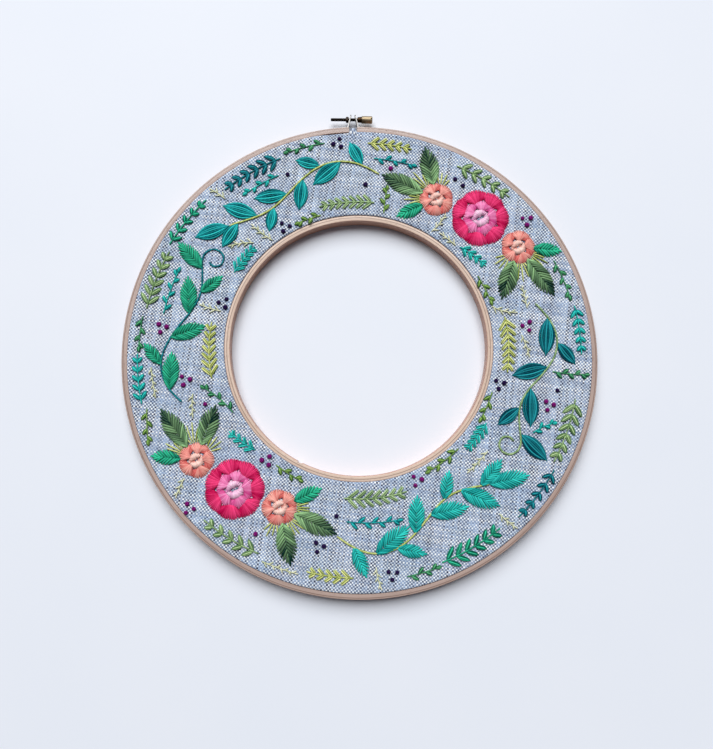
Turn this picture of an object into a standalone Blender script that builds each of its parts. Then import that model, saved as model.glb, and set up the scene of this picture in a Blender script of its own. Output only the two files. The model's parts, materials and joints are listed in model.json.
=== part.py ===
"""Wreath-shaped hoop embroidery: a ring of cloth held between a large hoop and a small one.

The large hoop is a plain ring under the cloth and a split ring that a screw closes round it.
The cloth lies over the plain ring and its edge goes down between the two. Its middle is cut
out, and its inner edge goes down between a small visible ring and a small clamp ring behind.
A stitched garland of blossoms, leafy vines, single leaves and sprigs stands up from the cloth.
It lies on its back: +Z is the face, +Y points to the screw, and z = 0 is what it rests on.
"""

import math
from collections import namedtuple

import bmesh
import bpy
from mathutils import Matrix, Vector

MM = 0.001

# Hoops and cloth
GAP = 0.3 * MM  # clearance between neighbouring pieces
CLOTH = 1.0 * MM  # thickness of the cloth
CLOTH_BEND = 1.0 * MM  # radius of its outer bend over each hoop's edge
WOOD = 3.6 * MM  # thickness of each hoop's band
HOOP_HEIGHT = 10.0 * MM
EASED_EDGE = 0.5 * MM  # chamfer on the edges of the rings that show
LARGE_RADIUS = 157.2 * MM  # outside of the split ring
SMALL_RADIUS = 88.9 * MM  # outside of the small visible ring
SMALL_OFFSET = Vector((-1.2, 6.2, 0.0)) * MM  # from the large hoop's centre to the small one's
FACE_Z = 10.6 * MM  # face of the cloth, a little proud of the hoops on both sides of it
HEM_Z = 1.0 * MM  # trimmed edge of the cloth, just short of the back
RING_STEPS = 72

# Radii that follow, from the rim inwards and then from the small ring outwards
SPLIT_INNER = LARGE_RADIUS - WOOD
SKIRT_OUTER = SPLIT_INNER - GAP
SKIRT_INNER = SKIRT_OUTER - CLOTH
UNDER_OUTER = SKIRT_INNER - GAP
UNDER_HEIGHT = FACE_Z - CLOTH - GAP
THROAT_INNER = SMALL_RADIUS + GAP
THROAT_OUTER = THROAT_INNER + CLOTH
CLAMP_INNER = THROAT_OUTER + GAP

# Screw fitting on the split ring
FITTING_X = -5.0 * MM  # middle of the split, a little left of the top
SPLIT_WIDTH = 5.6 * MM
SHEET = 0.7 * MM  # thickness of the two lugs
LUG_LOW, LUG_HIGH = 1.8 * MM, 8.2 * MM  # the lugs' edges, across the ring's height
FLANGE_LENGTH = 4.6 * MM
EAR_FOOT, EAR_TOP = 3.5 * MM, 1.4 * MM  # each ear's distance from the middle, at the ring and at its end
EAR_REACH = 10.3 * MM  # how far the ears stand out from the ring
EAR_CORNER = 2.2 * MM
SCREW_OUT = 7.4 * MM  # from the ring's outside to the screw's axis
SCREW_Z = HOOP_HEIGHT / 2
ROD_RADIUS, ROD_CHAMFER = 1.2 * MM, 0.3 * MM
ROD_LEFT = 15.3 * MM  # reach of the rod's free end from the middle
HOLE_RADIUS = ROD_RADIUS + GAP
NECK_X, BARREL_X, HEAD_END_X = 3.2 * MM, 5.8 * MM, 13.4 * MM
NECK_RADIUS, BARREL_RADIUS = 1.9 * MM, 2.5 * MM
SOCKET_DEPTH = 4.5 * MM
DRIVER_SLOT = (0.8 * MM, 1.2 * MM)  # width and depth
NUT_THICKNESS, NUT_RADIUS = 2.0 * MM, 2.6 * MM
ROUND_STEPS = 24

# The fitting stands out beyond the rim, so the hoop's centre lies below the middle of the whole
HOOP_CENTRE = Vector((0.0, -EAR_REACH / 2, 0.0))
SMALL_CENTRE = HOOP_CENTRE + SMALL_OFFSET
SCREW_PLACE = Vector((FITTING_X, HOOP_CENTRE.y + LARGE_RADIUS + SCREW_OUT, SCREW_Z))
CUT_MARGIN = 5.0 * MM  # how far a cutter runs past what it cuts

# Stitching
THREAD_Z = FACE_Z + GAP
STEM_RADIUS = 0.75 * MM
RIB_WIDTH, SPRIG_THICKNESS = 1.1 * MM, 0.9 * MM
LEAF_HEIGHT = 1.5 * MM
LEAF_ROOT = 2.4 * MM  # how far a leaf starts before the middle of its stem
LEAF_LEAN = 40.0  # degrees between a vine and its leaves
LEAF_SIDES, LEAF_STATIONS = 6, 5
FIRST_LEAF, LAST_LEAF = 0.10, 0.95  # shares of a vine's length
LEAF_SIZE, LEAF_SWING = 0.88, 0.16  # leaves are smaller on the outside of each bend and larger inside
BARB_LEAN = 42.0
BARB_TAPER = 0.4  # how much shorter the last pair of barbs is than the first, as a share
BARB_WIDEST = 0.55  # share of a barb's length at which it is widest
RIB_TIP = 1.08  # the rib runs this far past the last barbs, as a share of its length
STEM_POINTS = 20
CURL_TURNS, CURL_RADIUS, CURL_TIGHTENING, CURL_POINTS = 0.95, 8.5 * MM, 0.55, 10
PATH_STEP = 0.01  # half the stretch of a path over which its heading is read
WHORL_SECTION = ((1.0, 0.0), (1.0, 0.55), (0.45, 1.0), (0.0, 0.7), (0.0, 0.0))  # shares across and up
SCALLOP = 0.12  # depth of the notches between petals, as a share of the whorl's radius
STEPS_PER_PETAL = 5
HEART_STEPS, HEART_RINGS = 10, 6

THREADS = {
    "teal": (0.02, 0.36, 0.32),
    "turquoise": (0.02, 0.55, 0.46),
    "deep_teal": (0.02, 0.17, 0.21),
    "green": (0.02, 0.33, 0.13),
    "forest": (0.01, 0.09, 0.06),
    "sage": (0.31, 0.46, 0.19),
    "lime": (0.42, 0.56, 0.11),
    "crimson": (0.58, 0.01, 0.05),
    "pink": (0.70, 0.05, 0.24),
    "pale_pink": (0.80, 0.44, 0.66),
    "coral": (0.80, 0.19, 0.12),
    "pale_coral": (0.85, 0.42, 0.31),
}

# Places on the cloth are an angle in degrees, anticlockwise from +X, and a share of the way
# from the small hoop to the large one. Lengths are in millimetres. A blossom's angle is from
# its cluster's own angle. A single leaf starts at a blossom's edge and points straight away
# from its middle: its turn is 0 outwards and 90 anticlockwise along the cloth. A whorl of petals
# is a ring from its inner to its outer radius, and one with no petals is the blossom's heart.
Whorl = namedtuple("Whorl", "part thread inner outer petals height")
Blossom = namedtuple("Blossom", "angle share whorls")
Leaf = namedtuple("Leaf", "name thread blossom turn length width")
Vine = namedtuple("Vine", "name thread start end share wave leaves length width ending")
Sprig = namedtuple("Sprig", "name thread start end share drift pairs length width")

LARGE_BLOSSOM = (
    Whorl("outer_petals", "crimson", 12.9, 19.5, 7, 1.7),
    Whorl("inner_petals", "pink", 6.8, 12.0, 5, 2.0),
    Whorl("heart", "pale_pink", 0.0, 6.0, 0, 2.2),
)
SMALL_BLOSSOM = (
    Whorl("petals", "coral", 5.3, 11.6, 5, 1.6),
    Whorl("heart", "pale_coral", 0.0, 4.6, 0, 1.9),
)
CLUSTERS = {"upper": 48.0, "lower": 228.0}
BLOSSOMS = {
    "bloom": Blossom(0.0, 0.50, LARGE_BLOSSOM),
    "bud_one": Blossom(15.1, 0.40, SMALL_BLOSSOM),
    "bud_two": Blossom(-14.3, 0.60, SMALL_BLOSSOM),
}
LEAVES = (
    Leaf("leaf_one", "forest", "bud_one", 38, 26.0, 13.0),
    Leaf("leaf_two", "forest", "bud_one", 92, 29.0, 13.0),
    Leaf("leaf_three", "green", "bud_one", 141, 18.0, 9.5),
    Leaf("leaf_four", "forest", "bud_two", -142, 26.0, 13.0),
    Leaf("leaf_five", "forest", "bud_two", -88, 29.0, 13.0),
    Leaf("leaf_six", "green", "bud_two", -39, 18.0, 9.5),
)
VINES = (
    Vine("top_vine", "teal", 84, 136, 0.50, 0.15, 8, 26.5, 11.0, "leaf"),
    Vine("left_vine", "green", 196, 150, 0.50, 0.15, 6, 28.0, 11.5, "curl"),
    Vine("bottom_vine", "turquoise", 263, 314, 0.50, 0.15, 8, 29.0, 12.0, "leaf"),
    Vine("right_vine", "deep_teal", 15, -30, 0.50, 0.15, 6, 29.0, 12.0, "curl"),
)
SPRIGS = (
    Sprig("top_fern", "sage", 84, 104, 0.15, 0.0, 7, 7.5, 1.5),
    Sprig("top_sprig", "deep_teal", 112, 128, 0.85, 0.0, 6, 9.0, 3.0),
    Sprig("top_outer_fern", "lime", 88, 77, 0.86, 0.0, 5, 7.0, 1.6),
    Sprig("left_fern", "lime", 192, 172, 0.15, 0.0, 7, 8.0, 1.5),
    Sprig("left_sprig", "sage", 168, 153, 0.86, 0.0, 6, 9.5, 3.0),
    Sprig("left_outer_sprig", "turquoise", 193, 181, 0.89, 0.0, 5, 7.0, 2.6),
    Sprig("left_corner_sprig", "green", 150, 136, 0.90, 0.0, 5, 7.0, 2.6),
    Sprig("left_corner_fern", "turquoise", 149, 137, 0.12, 0.0, 5, 6.5, 1.6),
    Sprig("bottom_fern", "sage", 264, 286, 0.15, 0.0, 7, 9.0, 1.6),
    Sprig("bottom_sprig", "green", 291, 307, 0.86, 0.0, 6, 10.5, 3.2),
    Sprig("bottom_outer_fern", "lime", 268, 257, 0.86, 0.0, 5, 7.0, 1.6),
    Sprig("right_fern", "lime", 12, -8, 0.15, 0.0, 7, 8.5, 1.6),
    Sprig("right_sprig", "sage", -12, -28, 0.86, 0.0, 6, 10.0, 3.2),
    Sprig("right_outer_sprig", "turquoise", 13, 1, 0.89, 0.0, 5, 7.0, 2.6),
    Sprig("right_corner_sprig", "deep_teal", -31, -45, 0.90, 0.0, 5, 7.0, 2.6),
    Sprig("right_corner_fern", "turquoise", -31, -43, 0.12, 0.0, 5, 6.5, 1.6),
    Sprig("upper_outer_sprig", "sage", 63, 48, 0.86, 0.04, 5, 8.5, 2.8),
    Sprig("upper_inner_fern", "turquoise", 45, 34, 0.10, 0.08, 4, 6.0, 1.6),
    Sprig("lower_outer_sprig", "sage", 243, 228, 0.86, 0.04, 5, 8.5, 2.8),
    Sprig("lower_inner_fern", "turquoise", 225, 214, 0.10, 0.08, 4, 6.0, 1.6),
)


def clear_scene():
    for old in list(bpy.data.objects):
        bpy.data.objects.remove(old, do_unlink=True)


def new_collection(name, helpers=False):
    collection = bpy.data.collections.new(name)
    bpy.context.scene.collection.children.link(collection)
    collection.hide_render = helpers
    return collection


def make_material(name, colour, roughness, metallic=0.0):
    material = bpy.data.materials.new(name)
    material.use_nodes = True
    surface = material.node_tree.nodes["Principled BSDF"]
    surface.inputs["Base Color"].default_value = (*colour, 1.0)
    surface.inputs["Roughness"].default_value = roughness
    surface.inputs["Metallic"].default_value = metallic
    material.diffuse_color = (*colour, 1.0)
    return material


def add_object(name, data, material):
    made = bpy.data.objects.new(name, data)
    data.materials.append(material)
    PARTS.objects.link(made)
    return made


def add_helper(name, mesh, place=(0.0, 0.0, 0.0), collection=None):
    """A cutter, or a shape that is joined into a part and isn't one itself."""
    made = bpy.data.objects.new(name, mesh)
    made.location = place
    made.hide_render = True
    made.display_type = "WIRE"
    (collection or HELPERS).objects.link(made)
    return made


def mesh_from(name, shape):
    mesh = bpy.data.meshes.new(name)
    shape.to_mesh(mesh)
    shape.free()
    mesh.shade_smooth()
    mesh.set_sharp_from_angle(angle=math.radians(35))
    return mesh


def box_mesh(name, low, high):
    shape = bmesh.new()
    bmesh.ops.create_cube(shape, size=1.0)
    bmesh.ops.scale(shape, vec=Vector(high) - Vector(low), verts=shape.verts)
    bmesh.ops.translate(shape, vec=(Vector(high) + Vector(low)) / 2, verts=shape.verts)
    return mesh_from(name, shape)


def bar_mesh(name, left, right, radius, steps=ROUND_STEPS):
    """A round bar along X from left to right of its own origin."""
    shape = bmesh.new()
    bmesh.ops.create_cone(
        shape, cap_ends=True, segments=steps, radius1=radius, radius2=radius, depth=right - left,
        matrix=Matrix.Rotation(math.radians(90), 4, "Y"),
    )
    bmesh.ops.translate(shape, vec=((left + right) / 2, 0.0, 0.0), verts=shape.verts)
    return mesh_from(name, shape)


def boolean(made, operation, other):
    modifier = made.modifiers.new(operation.title(), "BOOLEAN")
    modifier.operation = operation
    modifier.solver = "EXACT"
    if isinstance(other, bpy.types.Collection):
        modifier.operand_type = "COLLECTION"
        modifier.collection = other
    else:
        modifier.object = other


def turned(name, profile, steps, material):
    """A ring or barrel turned round its own Z from (radius, height) points, down the outside first."""
    mesh = bpy.data.meshes.new(name)
    edges = [(i, (i + 1) % len(profile)) for i in range(len(profile))]
    mesh.from_pydata([(radius, 0.0, height) for radius, height in profile], edges, [])
    made = add_object(name, mesh, material)
    screw = made.modifiers.new("Turn", "SCREW")
    screw.steps = screw.render_steps = steps
    screw.use_merge_vertices = True
    screw.merge_threshold = 0.00005
    return made


def hoop(name, centre, inner, outer, height, chamfer, material):
    if chamfer:
        profile = [
            (outer - chamfer, height), (outer, height - chamfer), (outer, chamfer), (outer - chamfer, 0.0),
            (inner + chamfer, 0.0), (inner, chamfer), (inner, height - chamfer), (inner + chamfer, height),
        ]
    else:
        profile = [(outer, height), (outer, 0.0), (inner, 0.0), (inner, height)]
    made = turned(name, profile, RING_STEPS, material)
    made.location = centre
    return made


def loft(name, rows, material):
    """A closed ring through rows of points: each row runs round it, and the rows go round its section."""
    steps = len(rows[0])
    points = [point for row in rows for point in row]
    faces = []
    for k in range(len(rows)):
        above = (k + 1) % len(rows)
        for i in range(steps):
            after = (i + 1) % steps
            faces.append((k * steps + i, k * steps + after, above * steps + after, above * steps + i))
    mesh = bpy.data.meshes.new(name)
    mesh.from_pydata(points, [], faces)
    return add_object(name, mesh, material)


def circle(centre, radius, height):
    turns = [math.tau * i / RING_STEPS for i in range(RING_STEPS)]
    return [centre + Vector((radius * math.cos(a), radius * math.sin(a), height)) for a in turns]


def band(angle, share):
    """The place on the cloth at an angle in degrees and a share of the way out."""
    out = Vector((math.cos(math.radians(angle)), math.sin(math.radians(angle)), 0.0))
    inner = SMALL_CENTRE + out * THROAT_INNER
    outer = HOOP_CENTRE + out * SKIRT_OUTER
    return inner.lerp(outer, share)


def tube(name, points, radius):
    """A thin round thread through the points, as a closed mesh."""
    curve = bpy.data.curves.new(name, "CURVE")
    curve.dimensions = "3D"
    curve.bevel_depth = radius
    curve.bevel_resolution = 1
    curve.use_fill_caps = True
    spline = curve.splines.new("POLY")
    spline.points.add(len(points) - 1)
    for place, point in zip(spline.points, points):
        place.co = (*point, 1.0)
    made = bpy.data.objects.new(name, curve)
    HELPERS.objects.link(made)
    bpy.context.view_layer.update()
    evaluated = made.evaluated_get(bpy.context.evaluated_depsgraph_get())
    shape = bmesh.new()
    shape.from_mesh(bpy.data.meshes.new_from_object(evaluated))
    bmesh.ops.remove_doubles(shape, verts=shape.verts, dist=0.01 * MM)
    bmesh.ops.recalc_face_normals(shape, faces=shape.faces)
    bpy.data.objects.remove(made, do_unlink=True)
    return mesh_from(name, shape)


def leaf_mesh(name, length, width):
    """A pointed low mound with a flat back and a rib along its top, from its own origin along X."""
    shape = bmesh.new()
    lengthwise = Matrix.Rotation(math.radians(90), 4, "Y")
    bmesh.ops.create_uvsphere(
        shape, u_segments=LEAF_SIDES, v_segments=LEAF_STATIONS, radius=1.0, matrix=lengthwise
    )
    widest = max(vert.co.y for vert in shape.verts)
    for vert in shape.verts:
        taper = math.sqrt(max(0.0, 1.0 - vert.co.x**2))
        vert.co.y *= taper * width / 2 / widest
        vert.co.z = max(0.0, vert.co.z) * math.sqrt(taper) * LEAF_HEIGHT
        vert.co.x = length * (vert.co.x + 1.0) / 2
    return mesh_from(name, shape)


def along(heading, length=1.0):
    return Vector((math.cos(heading), math.sin(heading), 0.0)) * length


def heading_of(path, t):
    """The direction in which a path, a function of t from 0 to 1, runs at t."""
    stretch = path(t + PATH_STEP) - path(t - PATH_STEP)
    return math.atan2(stretch.y, stretch.x)


def curl(end, heading, side):
    """Points that wind a stem's end into a small spiral, on its left for side 1 and its right for -1."""
    across = heading + side * math.pi / 2
    middle = end + along(across, CURL_RADIUS)
    wound = []
    for i in range(1, CURL_POINTS + 1):
        share = i / CURL_POINTS
        turn = across + math.pi + side * math.tau * CURL_TURNS * share
        wound.append(middle + along(turn, CURL_RADIUS * (1.0 - CURL_TIGHTENING * share)))
    return wound


def make_vine(vine):
    """A stem that waves once out and once in, with leaves joined to it on either side."""
    def bend(t):
        return math.sin(math.tau * t)

    def stem(t):
        return band(vine.start + (vine.end - vine.start) * t, vine.share + vine.wave * bend(t))

    turning = 1 if vine.end > vine.start else -1
    joined = bpy.data.collections.new(vine.name + "_leaves")
    HELPERS.children.link(joined)

    def add_leaf(number, t, lean, size):
        heading = heading_of(stem, t) + lean
        base = stem(t) - along(heading, LEAF_ROOT)
        name = f"{vine.name}_leaf_{number}"
        mesh = leaf_mesh(name, vine.length * size * MM, vine.width * size * MM)
        leaf = add_helper(name, mesh, (base.x, base.y, THREAD_Z), joined)
        leaf.rotation_euler.z = heading

    for number in range(vine.leaves):
        t = FIRST_LEAF + (LAST_LEAF - FIRST_LEAF) * number / (vine.leaves - 1)
        side = 1 if number % 2 else -1
        size = LEAF_SIZE + LEAF_SWING * side * turning * bend(t)
        add_leaf(number, t, side * math.radians(LEAF_LEAN), size)
    points = [stem(i / (STEM_POINTS - 1)) for i in range(STEM_POINTS)]
    if vine.ending == "leaf":
        add_leaf(vine.leaves, 1.0, 0.0, 1.0)
    else:
        points += curl(points[-1], heading_of(stem, 1.0), turning)
    level = [Vector((p.x, p.y, THREAD_Z + STEM_RADIUS)) for p in points]
    made = add_object(vine.name, tube(vine.name, level, STEM_RADIUS), MATERIALS[vine.thread])
    boolean(made, "UNION", joined)


def make_sprig(sprig):
    """A flat rib with pairs of barbs, as one outline up its left side and down its right."""
    def rib(t):
        return band(sprig.start + (sprig.end - sprig.start) * t, sprig.share + sprig.drift * t)

    turning = 1 if sprig.end > sprig.start else -1
    sides = {1: [], -1: []}
    for pair in range(sprig.pairs):
        t = (pair + 0.5) / sprig.pairs
        base, ahead = rib(t), heading_of(rib, t)
        length, half = sprig.length * (1.0 - BARB_TAPER * t) * MM, sprig.width / 2 * MM
        for side, outline in sides.items():
            heading = ahead + side * math.radians(BARB_LEAN)
            edge = base + along(ahead + side * math.pi / 2, RIB_WIDTH / 2)
            swell = along(heading + side * math.pi / 2, half)
            middle = base + along(heading, length * BARB_WIDEST)
            outline += [edge - along(ahead, half), middle + swell, base + along(heading, length),
                        middle - swell, edge + along(ahead, half)]
    start = heading_of(rib, 0.0)
    foot = [rib(0.0) + along(start + side * math.pi / 2, RIB_WIDTH / 2) for side in (-1, 1)]
    outline = foot + sides[1] + [rib(RIB_TIP)] + sides[-1][::-1]

    curve = bpy.data.curves.new(sprig.name, "CURVE")
    curve.dimensions = "2D"
    curve.fill_mode = "BOTH"
    curve.extrude = SPRIG_THICKNESS / 2
    spline = curve.splines.new("POLY")
    spline.points.add(len(outline) - 1)
    for place, point in zip(spline.points, outline):
        place.co = (point.x, point.y, 0.0, 1.0)
    spline.use_cyclic_u = True
    made = add_object(sprig.name, curve, MATERIALS[sprig.thread])
    made.location.z = THREAD_Z + SPRIG_THICKNESS / 2


def make_petals(name, whorl):
    """A ring of petals round its own origin, scalloped at its outer edge and higher towards the middle."""
    steps = STEPS_PER_PETAL * whorl.petals
    rows = []
    for across, up in WHORL_SECTION:
        row = []
        for i in range(steps):
            angle = math.tau * i / steps
            full = 1.0 - SCALLOP * (1.0 - abs(math.cos(whorl.petals * angle / 2)))
            radius = whorl.inner + (whorl.outer * full - whorl.inner) * across
            row.append(along(angle, radius * MM) + Vector((0.0, 0.0, whorl.height * up * full * MM)))
        rows.append(row)
    return loft(name, rows, MATERIALS[whorl.thread])


def make_heart(name, whorl):
    """The domed middle of a blossom, flat underneath."""
    shape = bmesh.new()
    bmesh.ops.create_uvsphere(shape, u_segments=HEART_STEPS, v_segments=HEART_RINGS, radius=1.0)
    for vert in shape.verts:
        vert.co.z = max(0.0, vert.co.z)
    bmesh.ops.remove_doubles(shape, verts=shape.verts, dist=0.01)
    size = Vector((whorl.outer, whorl.outer, whorl.height)) * MM
    bmesh.ops.scale(shape, vec=size, verts=shape.verts)
    return add_object(name, mesh_from(name, shape), MATERIALS[whorl.thread])


def make_blossom(name, centre, whorls):
    """Rings of petals, one inside the other, round a heart."""
    for whorl in whorls:
        make = make_petals if whorl.petals else make_heart
        made = make(f"{name}_{whorl.part}", whorl)
        made.location = (centre.x, centre.y, THREAD_Z)


def make_leaf(name, leaf, cluster_angle):
    """A single leaf that points away from a blossom and all but touches its petals."""
    blossom = BLOSSOMS[leaf.blossom]
    angle = cluster_angle + blossom.angle
    heading = math.radians(angle + leaf.turn)
    base = band(angle, blossom.share) + along(heading, blossom.whorls[0].outer * MM + GAP)
    made = add_object(name, leaf_mesh(name, leaf.length * MM, leaf.width * MM), MATERIALS[leaf.thread])
    made.location = (base.x, base.y, THREAD_Z)
    made.rotation_euler.z = heading


def make_hoops():
    rim, pale, plain = (MATERIALS[wood] for wood in ("rim_wood", "small_wood", "plain_wood"))
    split = hoop("split_ring", HOOP_CENTRE, SPLIT_INNER, LARGE_RADIUS, HOOP_HEIGHT, EASED_EDGE, rim)
    low = (FITTING_X - SPLIT_WIDTH / 2, 0.0, -CUT_MARGIN)
    high = (FITTING_X + SPLIT_WIDTH / 2, SCREW_PLACE.y, HOOP_HEIGHT + CUT_MARGIN)
    boolean(split, "DIFFERENCE", add_helper("split_cutter", box_mesh("split_cutter", low, high)))
    hoop("inner_ring", HOOP_CENTRE, UNDER_OUTER - WOOD, UNDER_OUTER, UNDER_HEIGHT, 0.0, plain)
    hoop("small_ring", SMALL_CENTRE, SMALL_RADIUS - WOOD, SMALL_RADIUS, HOOP_HEIGHT, EASED_EDGE, pale)
    hoop("small_clamp_ring", SMALL_CENTRE, CLAMP_INNER, CLAMP_INNER + WOOD, UNDER_HEIGHT, 0.0, plain)


def make_cloth():
    """One piece: the face between the hoops, with a short wall down at each edge."""
    under, bend = FACE_Z - CLOTH, CLOTH_BEND
    soft = bend * (1.0 - math.sqrt(0.5))
    rows = [
        circle(HOOP_CENTRE, SKIRT_OUTER, HEM_Z),
        circle(HOOP_CENTRE, SKIRT_OUTER, FACE_Z - bend),
        circle(HOOP_CENTRE, SKIRT_OUTER - soft, FACE_Z - soft),
        circle(HOOP_CENTRE, SKIRT_OUTER - bend, FACE_Z),
        circle(SMALL_CENTRE, THROAT_INNER + bend, FACE_Z),
        circle(SMALL_CENTRE, THROAT_INNER + soft, FACE_Z - soft),
        circle(SMALL_CENTRE, THROAT_INNER, FACE_Z - bend),
        circle(SMALL_CENTRE, THROAT_INNER, HEM_Z),
        circle(SMALL_CENTRE, THROAT_OUTER, HEM_Z),
        circle(SMALL_CENTRE, THROAT_OUTER, under),
        circle(HOOP_CENTRE, SKIRT_INNER, under),
        circle(HOOP_CENTRE, SKIRT_INNER, HEM_Z),
    ]
    loft("cloth", rows, MATERIALS["cloth"])


def make_lug(name, side):
    """Bent sheet on one end of the split ring: a flange along the wood, and an ear that leans in."""
    seat = LARGE_RADIUS + GAP + SHEET / 2
    end = FITTING_X + side * (EAR_FOOT + FLANGE_LENGTH)
    foot = FITTING_X + side * EAR_FOOT
    top = FITTING_X + side * EAR_TOP
    path = [(x, HOOP_CENTRE.y + math.sqrt(seat**2 - x**2)) for x in (end, foot)]
    path.append((top, HOOP_CENTRE.y + LARGE_RADIUS + EAR_REACH))
    shape = bmesh.new()
    low = [shape.verts.new((x, y, LUG_LOW)) for x, y in path]
    high = [shape.verts.new((x, y, LUG_HIGH)) for x, y in path]
    for i in range(len(path) - 1):
        shape.faces.new((low[i], low[i + 1], high[i + 1], high[i]))
    bmesh.ops.bevel(
        shape, geom=[low[-1], high[-1]], affect="VERTICES", offset=EAR_CORNER, segments=4, profile=0.5
    )
    lug = add_object(name, mesh_from(name, shape), MATERIALS["steel"])
    sheet = lug.modifiers.new("Sheet", "SOLIDIFY")
    sheet.thickness = SHEET
    sheet.offset = 0.0
    sheet.use_even_offset = True
    reach = EAR_FOOT + SHEET
    hole = bar_mesh(name + "_hole", min(side * reach, 0.0), max(side * reach, 0.0), HOLE_RADIUS)
    boolean(lug, "DIFFERENCE", add_helper(hole.name, hole, SCREW_PLACE))


def make_screw():
    """A slotted brass head on a steel rod, which runs through both ears and a nut beyond the left one."""
    axis = bpy.data.objects.new("screw_axis", None)
    axis.location = SCREW_PLACE
    PARTS.objects.link(axis)
    rod = bar_mesh("screw_rod", -ROD_LEFT, NECK_X + SOCKET_DEPTH - GAP, ROD_RADIUS)
    rod = add_object("screw_rod", rod, MATERIALS["steel"])
    rod.parent = axis
    bevel = rod.modifiers.new("Ends", "BEVEL")
    bevel.width = ROD_CHAMFER
    bevel.limit_method = "ANGLE"

    socket = HOLE_RADIUS
    profile = [
        (BARREL_RADIUS - EASED_EDGE, HEAD_END_X), (BARREL_RADIUS, HEAD_END_X - EASED_EDGE),
        (BARREL_RADIUS, BARREL_X), (NECK_RADIUS, NECK_X), (socket, NECK_X),
        (socket, NECK_X + SOCKET_DEPTH), (0.0, NECK_X + SOCKET_DEPTH), (0.0, HEAD_END_X),
    ]
    head = turned("screw_head", profile, ROUND_STEPS, MATERIALS["brass"])
    head.parent = axis
    head.rotation_euler = (0.0, math.radians(90), 0.0)
    wide, deep = DRIVER_SLOT
    low = (HEAD_END_X - deep, -wide / 2, -CUT_MARGIN)
    high = (HEAD_END_X + CUT_MARGIN, wide / 2, CUT_MARGIN)
    boolean(head, "DIFFERENCE", add_helper("driver_slot", box_mesh("driver_slot", low, high), SCREW_PLACE))

    lean = (EAR_FOOT - EAR_TOP) * (1.0 - SCREW_OUT / EAR_REACH)
    face = EAR_TOP + lean + SHEET / 2 + 2 * GAP
    nut_mesh = bar_mesh("screw_nut", -face - NUT_THICKNESS, -face, NUT_RADIUS, steps=6)
    nut = add_object("screw_nut", nut_mesh, MATERIALS["steel"])
    nut.location = SCREW_PLACE
    bore = bar_mesh("nut_bore", -face - NUT_THICKNESS - CUT_MARGIN, -face + CUT_MARGIN, HOLE_RADIUS)
    boolean(nut, "DIFFERENCE", add_helper("nut_bore", bore, SCREW_PLACE))


clear_scene()
PARTS = new_collection("Hoop embroidery")
HELPERS = new_collection("Cutters", helpers=True)
MATERIALS = {
    "rim_wood": make_material("rim_wood", (0.46, 0.32, 0.24), 0.55),
    "small_wood": make_material("small_wood", (0.60, 0.42, 0.29), 0.55),
    "plain_wood": make_material("plain_wood", (0.58, 0.41, 0.29), 0.60),
    "cloth": make_material("cloth", (0.36, 0.41, 0.54), 0.90),
    "steel": make_material("steel", (0.45, 0.44, 0.43), 0.30, metallic=1.0),
    "brass": make_material("brass", (0.56, 0.42, 0.20), 0.32, metallic=1.0),
}
for thread_name, thread_colour in THREADS.items():
    MATERIALS[thread_name] = make_material("thread_" + thread_name, thread_colour, 0.6)

make_hoops()
make_cloth()
make_lug("left_lug", -1)
make_lug("right_lug", 1)
make_screw()
for cluster, cluster_angle in CLUSTERS.items():
    for name, row in BLOSSOMS.items():
        make_blossom(f"{cluster}_{name}", band(cluster_angle + row.angle, row.share), row.whorls)
    for row in LEAVES:
        make_leaf(f"{cluster}_{row.name}", row, cluster_angle)
for row in VINES:
    make_vine(row)
for row in SPRIGS:
    make_sprig(row)
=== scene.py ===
import json
import math
import random
from collections import namedtuple
from functools import partialmethod

import bmesh
import bpy
from mathutils import Matrix, Vector, noise


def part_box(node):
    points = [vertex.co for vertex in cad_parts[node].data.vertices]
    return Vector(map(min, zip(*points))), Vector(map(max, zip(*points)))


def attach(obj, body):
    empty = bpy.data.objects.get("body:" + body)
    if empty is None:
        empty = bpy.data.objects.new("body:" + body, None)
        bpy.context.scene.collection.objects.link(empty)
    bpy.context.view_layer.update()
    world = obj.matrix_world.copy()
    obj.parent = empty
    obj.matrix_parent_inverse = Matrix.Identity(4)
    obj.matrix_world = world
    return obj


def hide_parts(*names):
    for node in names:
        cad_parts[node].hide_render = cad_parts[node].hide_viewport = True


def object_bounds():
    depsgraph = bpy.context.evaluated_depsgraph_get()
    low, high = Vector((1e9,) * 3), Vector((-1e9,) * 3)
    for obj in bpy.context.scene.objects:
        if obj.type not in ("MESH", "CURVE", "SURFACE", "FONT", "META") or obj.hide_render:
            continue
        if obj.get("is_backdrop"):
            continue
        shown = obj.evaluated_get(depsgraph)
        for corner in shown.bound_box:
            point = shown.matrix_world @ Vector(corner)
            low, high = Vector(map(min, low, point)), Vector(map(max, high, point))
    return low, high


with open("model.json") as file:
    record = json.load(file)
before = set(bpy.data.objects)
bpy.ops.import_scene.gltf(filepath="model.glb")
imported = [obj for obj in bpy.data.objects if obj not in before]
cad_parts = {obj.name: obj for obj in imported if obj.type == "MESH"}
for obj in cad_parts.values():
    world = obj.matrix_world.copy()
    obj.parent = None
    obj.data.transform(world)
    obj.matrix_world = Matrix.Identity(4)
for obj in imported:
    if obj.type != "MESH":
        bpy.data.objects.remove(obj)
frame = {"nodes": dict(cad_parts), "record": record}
cad_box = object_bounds()
MM = 0.001


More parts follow.
